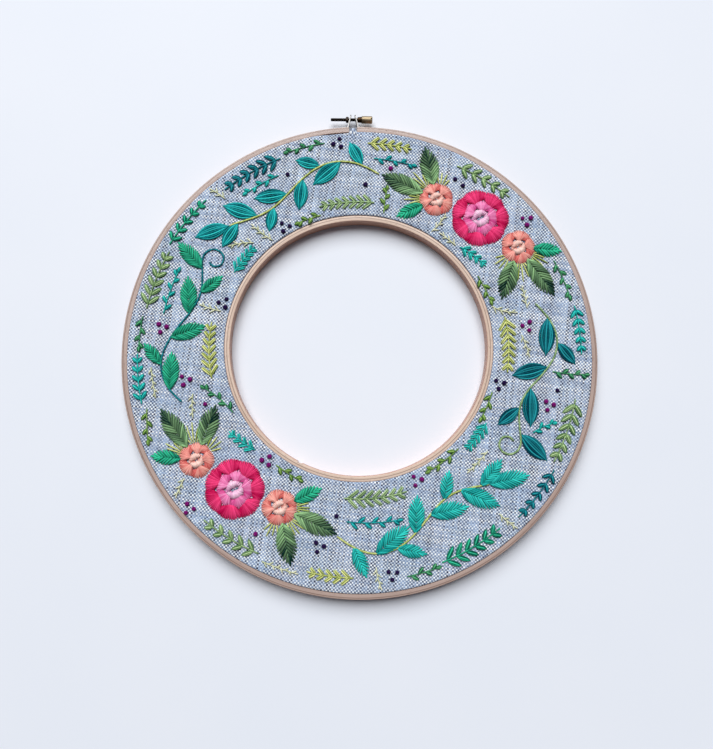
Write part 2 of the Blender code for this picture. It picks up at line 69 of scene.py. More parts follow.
# The studio: a pale painted board in the light of a wide stretch of sky beyond the screw. The
# camera is held over the middle of the wreath and a little below it, so the opening's far wall
# shows.
CAMERA_PLACE = Vector((-12.0, -65.2, 477.0)) * MM
CAMERA_TILT, CAMERA_SWING = math.radians(5.8), math.radians(1.1)
FOCAL_PIXELS, IMAGE_HEIGHT = 713.0, 749.0
BOARD_SIZE, BRUSH_MARKS = 5.0, 9.0  # metres, and marks of the brush a metre
SKY_PLACE = Vector((-1.6, 9.5, 12.9))
SKY_WIDTH, SKY_HEIGHT, SKY_POWER = 14.0, 14.0, 3650.0
ROOM_LIGHT, ROOM_TINT = 0.08, (0.87, 0.87, 1.0, 1.0)


def srgb(red, green, blue):
    """A colour as seen on a screen, 0 to 255, turned into the linear one that a material holds."""
    def linear(value):
        share = value / 255
        return share / 12.92 if share <= 0.04045 else ((share + 0.055) / 1.055) ** 2.4
    return (linear(red), linear(green), linear(blue), 1.0)


class Wire:
    """What a node gives out. Sums with it add math nodes. wire[name] is another output of its node."""

    def __init__(self, socket):
        self.socket = socket

    def __getitem__(self, name):
        return Wire(self.socket.node.outputs[name])

    def calc(self, operation, *others):
        kind = "ShaderNodeVectorMath" if self.socket.type in ("VECTOR", "RGBA") else "ShaderNodeMath"
        return add_node(kind, dict(enumerate((self, *others))), operation=operation)

    def __mul__(self, other):
        if self.socket.type == "VECTOR":
            return add_node("ShaderNodeVectorMath", {0: self, "Scale": other}, operation="SCALE")
        return self.calc("MULTIPLY", other)

    def __rsub__(self, number):
        return add_node("ShaderNodeMath", {0: number, 1: self}, operation="SUBTRACT")

    __add__ = partialmethod(calc, "ADD")
    __sub__ = partialmethod(calc, "SUBTRACT")
    __truediv__ = partialmethod(calc, "DIVIDE")


def feed(node, feeds):
    """Gives a node's inputs, by name or number, their values and wires."""
    for place, value in feeds.items():
        if isinstance(value, Wire):
            node.id_data.links.new(value.socket, node.inputs[place])
        else:
            node.inputs[place].default_value = value


def add_node(kind, feeds, tree=None, **settings):
    """A node's first output. Its tree is the one given, or that of the first wire it is fed with."""
    if tree is None:
        tree = next(value for value in feeds.values() if isinstance(value, Wire)).socket.id_data
    made = tree.nodes.new(kind)
    for setting, value in settings.items():
        setattr(made, setting, value)
    feed(made, feeds)
    return Wire(made.outputs[0])


def blend_colours(share, first, second, blend="MIX"):
    return add_node("ShaderNodeMix", {0: share, 6: first, 7: second}, data_type="RGBA", blend_type=blend)[2]


def cloudy(place, scale, detail):
    """A noise texture at a place."""
    return add_node("ShaderNodeTexNoise", {"Vector": place, "Scale": scale, "Detail": detail})


def bumped(height, strength, distance):
    return add_node("ShaderNodeBump", {"Strength": strength, "Distance": distance, "Height": height})


def object_place(tree):
    return add_node("ShaderNodeTexCoord", {}, tree)["Object"]


def new_material(name, roughness, **finish):
    """A material and its Principled surface, with what is the same all over it."""
    material = bpy.data.materials.new(name)
    material.use_nodes = True
    surface = material.node_tree.nodes["Principled BSDF"]
    feed(surface, {"Roughness": roughness})
    feed(surface, {socket.replace("_", " "): value for socket, value in finish.items()})
    return material, surface


def mesh_of(name, shape):
    """A mesh of what a bmesh holds. The bmesh is freed."""
    mesh = bpy.data.meshes.new(name)
    shape.to_mesh(mesh)
    shape.free()
    return mesh


def add_piece(name, mesh, material=None):
    made = bpy.data.objects.new(name, mesh)
    bpy.context.scene.collection.objects.link(made)
    if material:
        mesh.materials.append(material)
    return made


board_paint, surface = new_material("board_paint", 0.6)
brushed = cloudy(object_place(board_paint.node_tree), BRUSH_MARKS, 6.0)
feed(surface, {"Base Color": blend_colours(brushed, srgb(230, 236, 246), srgb(236, 240, 248)),
               "Normal": bumped(brushed, 0.1, 0.2 * MM)})
shape = bmesh.new()
bmesh.ops.create_grid(shape, x_segments=1, y_segments=1, size=BOARD_SIZE / 2)
add_piece("board", mesh_of("board", shape), board_paint)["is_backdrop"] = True

camera_data = bpy.data.cameras.new("camera")
camera_data.lens = camera_data.sensor_width * FOCAL_PIXELS / IMAGE_HEIGHT
camera = add_piece("camera", camera_data)
camera.matrix_world = (
    Matrix.Translation(CAMERA_PLACE)
    @ Matrix.Rotation(CAMERA_TILT, 4, "X")
    @ Matrix.Rotation(-CAMERA_SWING, 4, "Y")
)
bpy.context.scene.camera = camera

sky_data = bpy.data.lights.new("sky", "AREA")
sky_data.shape = "RECTANGLE"
sky_data.size, sky_data.size_y = SKY_WIDTH, SKY_HEIGHT
sky_data.energy = SKY_POWER
sky = add_piece("sky", sky_data)
sky.location = SKY_PLACE
sky.rotation_euler = (-SKY_PLACE).to_track_quat("-Z", "Y").to_euler()

room = bpy.data.worlds.new("room")
room.use_nodes = True
feed(room.node_tree.nodes["Background"], {"Color": ROOM_TINT, "Strength": ROOM_LIGHT})
bpy.context.scene.world = room
bpy.context.scene.view_settings.view_transform = "Standard"


# The two plain rings under the cloth: steam-bent beech strips, glued into rings and sanded.
# The large one is what the cloth is stretched over, and the other holds the cloth's inner edge
# round the small hoop. From the front the cloth hides both.
RING_TURNS = [math.tau * i / 240 for i in range(240)]
WOOD = 3.6 * MM  # thickness of every band
QUARTER, SHARP = math.radians(90), math.radians(40)  # edges bent more than SHARP look sharp
PLAIN_EASED, EASED_STEPS = 0.3 * MM, 3
GRAIN_STRETCH, STREAK_STRETCH, PORE_STRETCH = 45.0, 26.0, 10.0
GRAIN_WIDTH, STREAK_WIDTH, PORE_WIDTH = 0.5 * MM, 2.4 * MM, 0.22 * MM
NOISE_LOW, NOISE_HIGH = 0.3, 0.7  # between these lie most levels of a noise texture
PORE_LOW, PORE_HIGH, PORE_DARK = 0.70, 0.78, 0.6
PLY_LINE, PLY_WAVER, PLY_DARK, PLY_DEPTH = 0.30 * MM, 0.12 * MM, 0.75, 0.5
FACE_BLEND, GRAIN_DULL, GRAIN_HEIGHT = 0.32 * MM, 0.12, 0.4
MARK_BROWN = srgb(112, 82, 70)
PLAIN_TONES = srgb(226, 200, 170), srgb(196, 164, 132), srgb(242, 222, 206)


def ramp(value, low, high, first=0.0, second=1.0):
    """value, taken from the range low to high over to first to second, and held there."""
    return add_node("ShaderNodeMapRange", {0: value, 1: low, 2: high, 3: first, 4: second})


def parts_of(vector):
    parted = add_node("ShaderNodeSeparateXYZ", {0: vector})
    return parted, parted[1], parted[2]


def vector_of(x=0.0, y=0.0, z=0.0):
    return add_node("ShaderNodeCombineXYZ", {0: x, 1: y, 2: z})


def group_with(name, kind, inputs, outputs):
    """An empty node group and its inputs. Its sockets are given as lists of names, by sort."""
    tree = bpy.data.node_groups.new(name, kind)
    for in_out, sockets in (("INPUT", inputs), ("OUTPUT", outputs)):
        for sort, names in sockets.items():
            for socket in names:
                tree.interface.new_socket(socket, in_out=in_out, socket_type="NodeSocket" + sort)
    return tree, Wire(tree.nodes.new("NodeGroupInput").outputs[0])


def close_group(tree, **results):
    feed(tree.nodes.new("NodeGroupOutput"), results)
    return tree


def make_grain_group():
    """Grain round a bent strip, with dark pores, its two plies' line and its warmer broad faces."""
    tree, given = group_with(
        "Bent wood", "ShaderNodeTree",
        {"Vector": ["Middle"], "Color": ["Pale", "Dark", "Face"],
         "Float": ["Radius", "Ply radius", "Dullness"]},
        {"Color": ["Color"], "Float": ["Roughness", "Height"]},
    )
    x, y, z = parts_of(object_place(tree) - given["Middle"])
    radius = (x * x + y * y).calc("SQRT")

    def streaks(stretch, width, detail):
        place = vector_of(x / stretch, y / stretch, radius)
        feeds = {"Vector": place, "W": z, "Scale": 1 / width, "Detail": detail}
        return add_node("ShaderNodeTexNoise", feeds, noise_dimensions="4D")

    grain = ramp(streaks(GRAIN_STRETCH, GRAIN_WIDTH, 2.0), NOISE_LOW, NOISE_HIGH)
    streak = ramp(streaks(STREAK_STRETCH, STREAK_WIDTH, 2.0), NOISE_LOW, NOISE_HIGH)
    pore = ramp(streaks(PORE_STRETCH, PORE_WIDTH, 0.0), PORE_LOW, PORE_HIGH)
    off_ply = (radius - given["Ply radius"]).calc("ABSOLUTE") + grain * PLY_WAVER
    marked = ramp(off_ply, PLY_LINE / 2, PLY_LINE * 1.4, PLY_DARK, 0.0).calc("MAXIMUM", pore * PORE_DARK)
    wood = blend_colours(grain * 0.5 + streak * 0.5, given["Pale"], given["Dark"])
    lined = blend_colours(marked, wood, MARK_BROWN)
    off_middle = (radius - given["Radius"]).calc("ABSOLUTE")
    on_face = ramp(off_middle, WOOD / 2 - FACE_BLEND, WOOD / 2 - FACE_BLEND / 4)
    return close_group(tree, Color=blend_colours(on_face, lined, given["Face"], "MULTIPLY"),
                       Roughness=grain.calc("MULTIPLY_ADD", GRAIN_DULL, given["Dullness"]),
                       Height=grain * GRAIN_HEIGHT - marked)


bent_wood_group = make_grain_group()


def wood_material(name, middle, outer, ply_depth, pale, dark, face, dullness=0.34):
    """Wood for a band of that outer radius, with its ply line at a share of its thickness."""
    material, surface = new_material(name, 0.5)
    grain = add_node("ShaderNodeGroup", {
        "Middle": middle, "Pale": pale, "Dark": dark, "Face": face, "Radius": outer - WOOD / 2,
        "Ply radius": outer - ply_depth * WOOD, "Dullness": dullness,
    }, material.node_tree, node_tree=bent_wood_group)
    feed(surface, {"Base Color": grain["Color"], "Roughness": grain["Roughness"],
                   "Normal": bumped(grain["Height"], 0.5, 0.12 * MM)})
    return material


def loft(name, rows, material):
    """A closed ring through rows of points: each row runs round it, and the rows go round its section."""
    steps = len(rows[0])
    faces = []
    for number in range(len(rows)):
        here, above = number * steps, (number + 1) % len(rows) * steps
        for i in range(steps):
            after = (i + 1) % steps
            faces.append((here + i, here + after, above + after, above + i))
    mesh = bpy.data.meshes.new(name)
    mesh.from_pydata([point for row in rows for point in row], [], faces)
    shape = bmesh.new()
    shape.from_mesh(mesh)
    bmesh.ops.recalc_face_normals(shape, faces=shape.faces)
    shape.to_mesh(mesh)
    shape.free()
    mesh.shade_smooth()
    mesh.set_sharp_from_angle(angle=SHARP)
    return add_piece(name, mesh, material)


def circle(middle, radius, height, turns=RING_TURNS):
    return [Vector((middle.x + radius * math.cos(a), middle.y + radius * math.sin(a), height)) for a in turns]


def middle_of(node):
    low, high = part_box(node)
    return Vector(((low.x + high.x) / 2, (low.y + high.y) / 2, 0.0))


def radius_of(node):
    low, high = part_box(node)
    return (high.x - low.x) / 2


def bent_band(name, node, middle, eased, material):
    """A strip bent into a ring in a node's place, with its four edges eased by that much."""
    low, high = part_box(node)
    outer = radius_of(node)
    inner = outer - WOOD
    corners = ((outer, low.z, 1, 1), (outer, high.z, 1, -1), (inner, high.z, -1, -1), (inner, low.z, -1, 1))
    rows = []
    for number, (radius, height, out, up) in enumerate(corners):
        for step in range(EASED_STEPS + 1):
            turn = QUARTER * (1 - step / EASED_STEPS if number % 2 else step / EASED_STEPS)
            rows.append(circle(middle, radius - out * eased * (1 - math.cos(QUARTER - turn)),
                               height + up * eased * (1 - math.cos(turn))))
    return loft(name, rows, material)


def finish_piece(piece, slot=None, replaced=(), body="hoop"):
    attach(piece, body)
    if replaced:
        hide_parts(*replaced)
    return piece


def plain_hoop(name, node, middle):
    wood = wood_material(name + "_wood", middle, radius_of(node), PLY_DEPTH, *PLAIN_TONES)
    return finish_piece(bent_band(name + "_hoop", node, middle, PLAIN_EASED, wood), "plain_wood", [node])


hoop_middle, small_middle = middle_of("inner_ring"), middle_of("small_clamp_ring")
under_hoop = plain_hoop("under", "inner_ring", hoop_middle)
clamp_hoop = plain_hoop("clamp", "small_clamp_ring", small_middle)


# The chambray: blue warp and white weft in a plain weave, cut as one ring, pulled tight over the
# large plain ring and turned down between the hoops at both edges. Stitches pucker it faintly.
SHEET = 0.35 * MM
BEND_WIDE, BEND_HIGH = 1.5 * MM, 0.9 * MM  # where it turns down over the hoops' edges
CLOTH_SWELL, CLOTH_CROWN = 0.2 * MM, 0.4 * MM  # into the gap beside the hoops, and above them
BEND_STEPS, FACE_ROWS = 6, 22
THREAD_PITCH, WEAVE_TURN = 1.14 * MM, math.radians(8.0)
SLOW_WAVES, QUICK_WAVES = (40.0, 0.7 * MM), (420.0, 0.45 * MM)  # waves a metre, how far threads stray
SLUB_ACROSS, SLUB_ALONG = 7.3, 0.3  # how fast slubs change from thread to thread, and along one
BAND_ACROSS, BAND_ALONG = 0.34, 0.035  # the same for bands of neighbouring threads
THREAD_LEVEL, SLUB_LEVEL, SLUB_SHIFT = 0.8, 1.7, -0.75
BAND_RANGE, BAND_LIGHT = (0.7, 1.3), (0.86, 1.14)
# The last two of these set the painted shade in the cloth's colour: full light on a thread's crown, darker
# towards its flanks.
THREAD_FLANK, CROWN_PAINTED_LIGHT, FLANK_PAINTED_SHADE = 0.08, 0.4, 0.67
WARP_DEEP, WARP_PALE = srgb(38, 46, 82), srgb(154, 173, 207)
WEFT_DEEP, WEFT_PALE = srgb(184, 198, 221), srgb(255, 255, 255)
PATCHES, PATCH_LOW, PATCH_HIGH = 45.0, 0.35, 0.65  # patches a metre, where the cloth's tint changes
PUCKER, PUCKER_SIZE = 0.22 * MM, 13.0 * MM
SPLIT_WIDTH, FITTING_X = 5.6 * MM, -5.0 * MM  # the split ring's gap, a little left of the top
BULGE, BULGE_WIDTH = 3.0 * MM, 2.0 * MM  # where the split leaves the cloth's edge free
SLACK, SLACK_WIDTH = 0.85 * MM, 10.0 * MM  # where the ring stands off, left of the split
SLACK_X = FITTING_X - 12.0 * MM
CLOTH_EDGE = radius_of("cloth")
FACE_Z, HEM_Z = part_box("cloth")[1].z + CLOTH_CROWN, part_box("cloth")[0].z
SMALL_RADIUS = radius_of("small_ring")
THROAT = SMALL_RADIUS + 0.3 * MM


def darkened(colour, light):
    """The colour at a share of its light."""
    grey = add_node("ShaderNodeCombineColor", {0: light, 1: light, 2: light})
    return blend_colours(1.0, colour, grey, "MULTIPLY")


def make_weave_group():
    """Warp and weft that pass over and under each other, each thread with its own tone and slubs and with
    painted shade darkening it towards its flanks.
    """
    tree, given = group_with(
        "Plain weave", "ShaderNodeTree",
        {"Vector": ["Place"], "Float": ["Pitch", "Turn"], "Color": ["Warp", "Weft"]},
        {"Color": ["Color"], "Float": ["Height"]},
    )
    turning = {"Vector": given["Place"], "Angle": given["Turn"]}
    turned = add_node("ShaderNodeVectorRotate", turning, rotation_type="Z_AXIS")
    strayed = turned
    for often, far in (SLOW_WAVES, QUICK_WAVES):
        waves = cloudy(turned, often, 1.0)["Color"].calc("SUBTRACT", (0.5,) * 3)
        strayed = waves.calc("MULTIPLY_ADD", (far,) * 3, strayed)
    across = [part / given["Pitch"] for part in parts_of(strayed)[:2]]
    number = [value.calc("FLOOR") for value in across]
    warp_over = (number[0] + number[1]).calc("FLOORED_MODULO", 2.0)

    def along_threads(axis, seed, step_across, step_along, detail):
        place = vector_of(number[axis] * step_across, across[1 - axis] * step_along, seed)
        return cloudy(place, 1.0, detail)

    def tone(axis, seed):
        """How light one thread is, with slow changes along it."""
        place = vector_of(number[axis], seed)
        own = add_node("ShaderNodeTexWhiteNoise", {"Vector": place}, noise_dimensions="3D")
        slub = along_threads(axis, seed, SLUB_ACROSS, SLUB_ALONG, 2.0)
        return own.calc("MULTIPLY_ADD", THREAD_LEVEL, slub.calc("MULTIPLY_ADD", SLUB_LEVEL, SLUB_SHIFT))

    def band_tone(axis, seed):
        """How light a band of neighbouring threads is, as a batch of yarn varies."""
        return along_threads(axis, seed, BAND_ACROSS, BAND_ALONG, 1.0)

    def rounded(value, whole):
        """A thread's height across itself, a little over 0 at its edges and over 1 in the middle."""
        centred = (value - whole) * 2.0 - 1.0
        return 1.0 - centred * centred + THREAD_FLANK

    pillow = (rounded(across[0], number[0]) * rounded(across[1], number[1])).calc("SQRT")
    warp = blend_colours(tone(0, 3.0), WARP_DEEP, given["Warp"])
    weft = blend_colours(tone(1, 11.0), WEFT_DEEP, given["Weft"])
    banded = ramp(band_tone(0, 5.0) + band_tone(1, 17.0), *BAND_RANGE, *BAND_LIGHT)
    # The yarn bands' own tone, times painted shade that darkens each thread towards its flanks.
    light = banded * pillow.calc("MULTIPLY_ADD", CROWN_PAINTED_LIGHT, FLANK_PAINTED_SHADE)
    return close_group(tree, Color=darkened(blend_colours(warp_over, weft, warp), light), Height=pillow)


chambray, surface = new_material("chambray", 0.85, Sheen_Weight=0.12, Sheen_Roughness=0.5)
flat_place = add_node("ShaderNodeAttribute", {}, chambray.node_tree, attribute_name="flat")["Vector"]
weave = add_node("ShaderNodeGroup", {
    "Place": flat_place, "Pitch": THREAD_PITCH, "Turn": WEAVE_TURN, "Warp": WARP_PALE, "Weft": WEFT_PALE,
}, node_tree=make_weave_group())
patches = ramp(cloudy(flat_place, PATCHES, 3.0), PATCH_LOW, PATCH_HIGH)
tint = blend_colours(patches, srgb(243, 252, 255), srgb(253, 255, 255))
feed(surface, {"Base Color": blend_colours(1.0, weave["Color"], tint, "MULTIPLY"),
               "Normal": bumped(weave["Height"], 0.6, 0.25 * MM)})


def sag(point):
    """How far the stitches and the stretch pull the cloth down at a place, less near the hoops."""
    to_hoop = CLOTH_EDGE - (point - hoop_middle).length
    to_small = (point - small_middle).length - THROAT
    free = min(1.0, min(to_hoop, to_small) / PUCKER_SIZE)
    return -PUCKER * (0.5 + 0.5 * noise.noise(point / PUCKER_SIZE)) * max(0.0, free)


def swell(point):
    """How far the cloth's outer edge comes out in the gap of the split ring, less its slack beside it."""
    if point.y < hoop_middle.y:
        return 0.0
    in_split = BULGE * math.exp(-((point.x - FITTING_X) / BULGE_WIDTH) ** 4)
    return in_split - SLACK * math.exp(-((point.x - SLACK_X) / SLACK_WIDTH) ** 4)


def cloth_side(inset):
    """Circles over one side of the cloth, from hem to hem: middle, radius, height, flat radius."""
    outer, throat, face = CLOTH_EDGE + CLOTH_SWELL - inset, THROAT - CLOTH_SWELL + inset, FACE_Z - inset
    wide, high = BEND_WIDE - inset, BEND_HIGH - inset
    down = face - high - HEM_Z
    arc = math.hypot(wide, high) * math.pi / math.sqrt(8)
    flat_outer, flat_inner = outer - wide + arc, throat + wide - arc
    side = [(hoop_middle, outer, HEM_Z, flat_outer + down), (hoop_middle, outer, face - high, flat_outer)]
    for step in range(1, BEND_STEPS + 1):
        turn = QUARTER * step / BEND_STEPS
        side.append((hoop_middle, outer - wide * (1 - math.cos(turn)), face - high * (1 - math.sin(turn)),
                     flat_outer - arc * step / BEND_STEPS))
    for row in range(1, FACE_ROWS):
        share = row / FACE_ROWS
        radius = (outer - wide) * (1 - share) + (throat + wide) * share
        side.append((hoop_middle.lerp(small_middle, share), radius, face, radius))
    for step in range(BEND_STEPS + 1):
        turn = QUARTER * step / BEND_STEPS
        side.append((small_middle, throat + wide * (1 - math.sin(turn)), face - high * (1 - math.cos(turn)),
                     flat_inner + arc * (1 - step / BEND_STEPS)))
    side.append((small_middle, throat, HEM_Z, flat_inner - down))
    return side


split_turn = math.acos(FITTING_X / CLOTH_EDGE)
cloth_turns = sorted(RING_TURNS + [split_turn + math.radians(0.2) * i for i in range(-10, 11)])
sides = cloth_side(0.0) + cloth_side(SHEET)[::-1]
rows, flat_places = [], []
for middle, radius, height, flat_radius in sides:
    row = circle(middle, radius, height, cloth_turns)
    near_edge = max(0.0, min(1.0, 1 - (CLOTH_EDGE - radius) / (3 * BEND_HIGH)))
    for point in row:
        if height > FACE_Z - 2 * SHEET:
            point.z += sag(Vector((point.x, point.y, 0.0)))
        point.y += swell(point) * near_edge
    rows.append(row)
    flat_places += circle(middle, flat_radius, 0.0, cloth_turns)
cloth = loft("chambray_ring", rows, chambray)
flat = cloth.data.attributes.new("flat", "FLOAT_VECTOR", "POINT")
flat.data.foreach_set("vector", [value for point in flat_places for value in point])
outer_cut, inner_cut = sides[0][3], sides[FACE_ROWS + 2 * BEND_STEPS + 2][3]
finish_piece(cloth, "cloth", ["cloth"])
2 * outer_cut
2 * outer_cut
math.pi * (outer_cut**2 - inner_cut**2)


# The split ring of the large hoop: the same beech, bare and a little darkened by handling. It is
# cut through at the top, where the screw draws its two ends together round the cloth.
RIM_EASED, RIM_PLY_DEPTH, RIM_DULLNESS = 0.25 * MM, 0.28, 0.25
RIM_TONES = srgb(196, 174, 164), srgb(164, 140, 130), srgb(236, 212, 196)


def settled(piece):
    """The piece with its modifiers turned into a plain mesh."""
    bpy.context.view_layer.update()
    evaluated = piece.evaluated_get(bpy.context.evaluated_depsgraph_get())
    mesh = bpy.data.meshes.new_from_object(evaluated)
    piece.modifiers.clear()
    piece.data = mesh
    return piece


def block(name, low, high):
    shape = bmesh.new()
    bmesh.ops.create_cube(shape, size=1.0)
    bmesh.ops.scale(shape, vec=Vector(high) - Vector(low), verts=shape.verts)
    bmesh.ops.translate(shape, vec=(Vector(high) + Vector(low)) / 2, verts=shape.verts)
    return mesh_of(name, shape)


def cut_away(piece, cutter_mesh):
    """Takes the cutter's shape out of a piece."""
    cutter = add_piece(piece.name + "_cutter", cutter_mesh)
    cut = piece.modifiers.new("Cut", "BOOLEAN")
    cut.operation = "DIFFERENCE"
    cut.solver = "EXACT"
    cut.object = cutter
    settled(piece).data.set_sharp_from_angle(angle=SHARP)
    bpy.data.objects.remove(cutter, do_unlink=True)


rim_radius, rim_top = radius_of("split_ring"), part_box("split_ring")[1].z
rim_wood = wood_material("rim_wood", hoop_middle, rim_radius, RIM_PLY_DEPTH, *RIM_TONES, RIM_DULLNESS)
rim = bent_band("rim", "split_ring", hoop_middle, RIM_EASED, rim_wood)
cut_away(rim, block("gap", (FITTING_X - SPLIT_WIDTH / 2, 0.0, -WOOD),
                    (FITTING_X + SPLIT_WIDTH / 2, hoop_middle.y + rim_radius + WOOD, rim_top + WOOD)))
finish_piece(rim, "rim_wood", ["split_ring"])


# The small hoop's ring that shows: paler beech, pressed down through the middle of the cloth.
# Its two plies meet in a fine line, and a slanted nick is left where the inner one ends.
NICK_TURN, NICK_LONG, NICK_DEEP, NICK_SLANT = math.radians(-117.0), 3.2 * MM, 0.7 * MM, math.radians(78)
SMALL_PLY_DEPTH = 0.46
SMALL_TONES = srgb(232, 209, 192), srgb(200, 172, 152), srgb(226, 194, 182)
small_wood = wood_material("small_wood", small_middle, SMALL_RADIUS, SMALL_PLY_DEPTH, *SMALL_TONES)
small_ring = bent_band("small_hoop", "small_ring", small_middle, RIM_EASED, small_wood)
small_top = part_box("small_ring")[1].z
nick = block("nick", (-NICK_LONG / 2, -WOOD, -WOOD), (NICK_LONG / 2, NICK_DEEP, small_top + WOOD))
nick_middle = small_middle + Vector((math.cos(NICK_TURN), math.sin(NICK_TURN), 0.0)) * (SMALL_RADIUS - WOOD)
nick.transform(Matrix.Translation(nick_middle) @ Matrix.Rotation(NICK_TURN - NICK_SLANT, 4, "Z"))
cut_away(small_ring, nick)
finish_piece(small_ring, "small_wood", ["small_ring"])


# The screw fitting. Two lugs of bent steel sheet hold on to the ends of the split ring. A steel
# screw with a slotted brass head runs through both of them and through a nut on the far side.
SHARD = 0.25 * MM  # bevel of the nut's and the head's edges
ROD_RADIUS, ROD_PITCH, ROD_DEPTH, ROD_POINT = 1.12 * MM, 0.7 * MM, 0.16 * MM, 0.28
ROD_SIDES, ROWS_PER_TURN, HEAD_STEPS = 20, 8, 48
NECK_RADIUS, NECK_SPREAD, BARREL_RADIUS = 1.8 * MM, 0.25 * MM, 2.5 * MM
NECK_LENGTH, SHOULDER, SLOT_WIDTH, SLOT_DEPTH = 2.6 * MM, 0.7 * MM, 0.8 * MM, 1.2 * MM
SOCKET_DEPTH, SOCKET_END, HOLE_RADIUS = 4.5 * MM, 0.1 * MM, 1.5 * MM
MARKS, MARK_STRETCH, DULL_PATCHES = 4200.0, 0.06, 260.0  # marks and patches a metre
DARK_METAL, DULLER, BRIGHTER = 0.55, 0.12, 0.08
NECK_DARK_BROWN = srgb(62, 46, 32)


def metal_material(name, colour, roughness, streak_axis, dark_up_to=None):
    """Metal with fine marks of the tool that made it, drawn out along one axis, and dark up to an X."""
    material, surface = new_material(name, roughness, Metallic=1.0)
    place = object_place(material.node_tree)
    stretch = [1.0, 1.0, 1.0]
    stretch[streak_axis] = MARK_STRETCH
    marks = cloudy(add_node("ShaderNodeMapping", {"Vector": place, "Scale": stretch}), MARKS, 2.0)
    dull = cloudy(place, DULL_PATCHES, 3.0)
    dark = tuple(value * DARK_METAL for value in colour[:3]) + (1.0,)
    marked_colour = blend_colours(ramp(marks * 0.5 + dull * 0.5, NOISE_LOW, NOISE_HIGH), dark, colour)
    # Below that X the colour turns a flat dark brown, blended back over the shoulder's length; the brass head
    # has it along its neck.
    if dark_up_to:
        marked_colour = blend_colours(ramp(parts_of(place)[0], dark_up_to, dark_up_to + SHOULDER), NECK_DARK_BROWN, marked_colour)
    rough = ramp(dull, NOISE_LOW, NOISE_HIGH, roughness - BRIGHTER, roughness + DULLER)
    feed(surface, {"Base Color": marked_colour, "Roughness": rough, "Normal": bumped(marks, 0.3, 0.03 * MM)})
    return material


def made_by(name, tree, values, guide=None):
    """What a Geometry Nodes tree makes on a guide mesh, as a plain mesh."""
    piece = add_piece(name, guide or bpy.data.meshes.new(name))
    modifier = piece.modifiers.new(tree.name, "NODES")
    modifier.node_group = tree
    for item in tree.interface.items_tree:
        if item.in_out == "INPUT" and item.name in values:
            modifier[item.identifier] = values[item.name]
    return settled(piece)


def close_tree(tree, geometry, material):
    """The end of each tree: one real mesh with its material."""
    whole = add_node("GeometryNodeRealizeInstances", {"Geometry": geometry})
    coloured = add_node("GeometryNodeSetMaterial", {"Geometry": whole, "Material": material})
    return close_group(tree, Geometry=coloured)


def make_screw_tree():
    """A rod along X from its start, with a helical thread on it and chamfered ends."""
    tree, given = group_with(
        "Screw thread", "GeometryNodeTree",
        {"Vector": ["Start"], "Float": ["Length", "Radius", "Pitch", "Depth"], "Int": ["Rows"],
         "Material": ["Material"]},
        {"Geometry": ["Geometry"]},
    )
    rod = add_node("GeometryNodeMeshCylinder", {
        "Vertices": ROD_SIDES, "Side Segments": given["Rows"], "Radius": given["Radius"],
        "Depth": given["Length"],
    })
    x, y, z = parts_of(add_node("GeometryNodeInputPosition", {}, tree))
    phase = z / given["Pitch"] - y.calc("ARCTAN2", x) / math.tau
    groove = phase.calc("PINGPONG", 0.5) * 2.0
    half = given["Length"] / 2.0
    chamfer = ramp(half - z.calc("ABSOLUTE"), 0.0, ROD_PITCH, ROD_POINT, 0.0)
    keep = 1.0 - (groove * given["Depth"] / given["Radius"]).calc("MAXIMUM", chamfer)
    place = vector_of(x * keep, y * keep, z)
    shaped = add_node("GeometryNodeSetPosition", {"Geometry": rod, "Position": place})
    laid = add_node("GeometryNodeTransform", {
        "Geometry": shaped, "Translation": given["Start"] + vector_of(half), "Rotation": (0.0, QUARTER, 0.0),
    })
    return close_tree(tree, add_node("GeometryNodeSetShadeSmooth", {"Geometry": laid}), given["Material"])


steel = metal_material("steel", srgb(136, 134, 132), 0.34, 2)
dark_steel = metal_material("dark_steel", srgb(42, 36, 32), 0.32, 0)
for lug in ("left_lug", "right_lug"):
    frame["nodes"][lug].data.materials.clear()
    frame["nodes"][lug].data.materials.append(steel)

rod_low, rod_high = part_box("screw_rod")
axis = (rod_low + rod_high) / 2
rod_length = rod_high.x - rod_low.x
rod = made_by("threaded_rod", make_screw_tree(), {
    "Start": (rod_low.x, axis.y, axis.z), "Length": rod_length, "Radius": ROD_RADIUS, "Pitch": ROD_PITCH,
    "Depth": ROD_DEPTH, "Rows": round(rod_length / ROD_PITCH * ROWS_PER_TURN), "Material": dark_steel,
})
finish_piece(rod, "steel", ["screw_rod"], "screw")


def turned(name, profile, steps, material):
    """A piece turned round the screw's axis from (distance along X, radius) points."""
    turns = [math.tau * i / steps for i in range(steps)]
    rows = [[Vector((along_x, axis.y + radius * math.cos(a), axis.z + radius * math.sin(a))) for a in turns]
            for along_x, radius in profile]
    return loft(name, rows, material)


head_low, head_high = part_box("screw_head")
socket_end, neck_end = head_low.x + SOCKET_DEPTH, head_low.x + NECK_LENGTH
brass = metal_material("brass", srgb(180, 163, 134), 0.46, 0, dark_up_to=neck_end)
head = turned("slotted_head", [
    (socket_end, HOLE_RADIUS), (head_low.x, HOLE_RADIUS), (head_low.x, NECK_RADIUS),
    (neck_end, NECK_RADIUS + NECK_SPREAD), (neck_end + SHOULDER, BARREL_RADIUS),
    (head_high.x - 2 * SHARD, BARREL_RADIUS), (head_high.x - SHARD, BARREL_RADIUS - SHARD),
    (head_high.x, BARREL_RADIUS - 2 * SHARD), (head_high.x, SOCKET_END), (socket_end, SOCKET_END),
], HEAD_STEPS, brass)
cut_away(head, block("slot", (head_high.x - SLOT_DEPTH, axis.y - SLOT_WIDTH / 2, axis.z - 2 * BARREL_RADIUS),
                     (head_high.x + SLOT_DEPTH, axis.y + SLOT_WIDTH / 2, axis.z + 2 * BARREL_RADIUS)))
finish_piece(head, "brass", ["screw_head"], "screw")

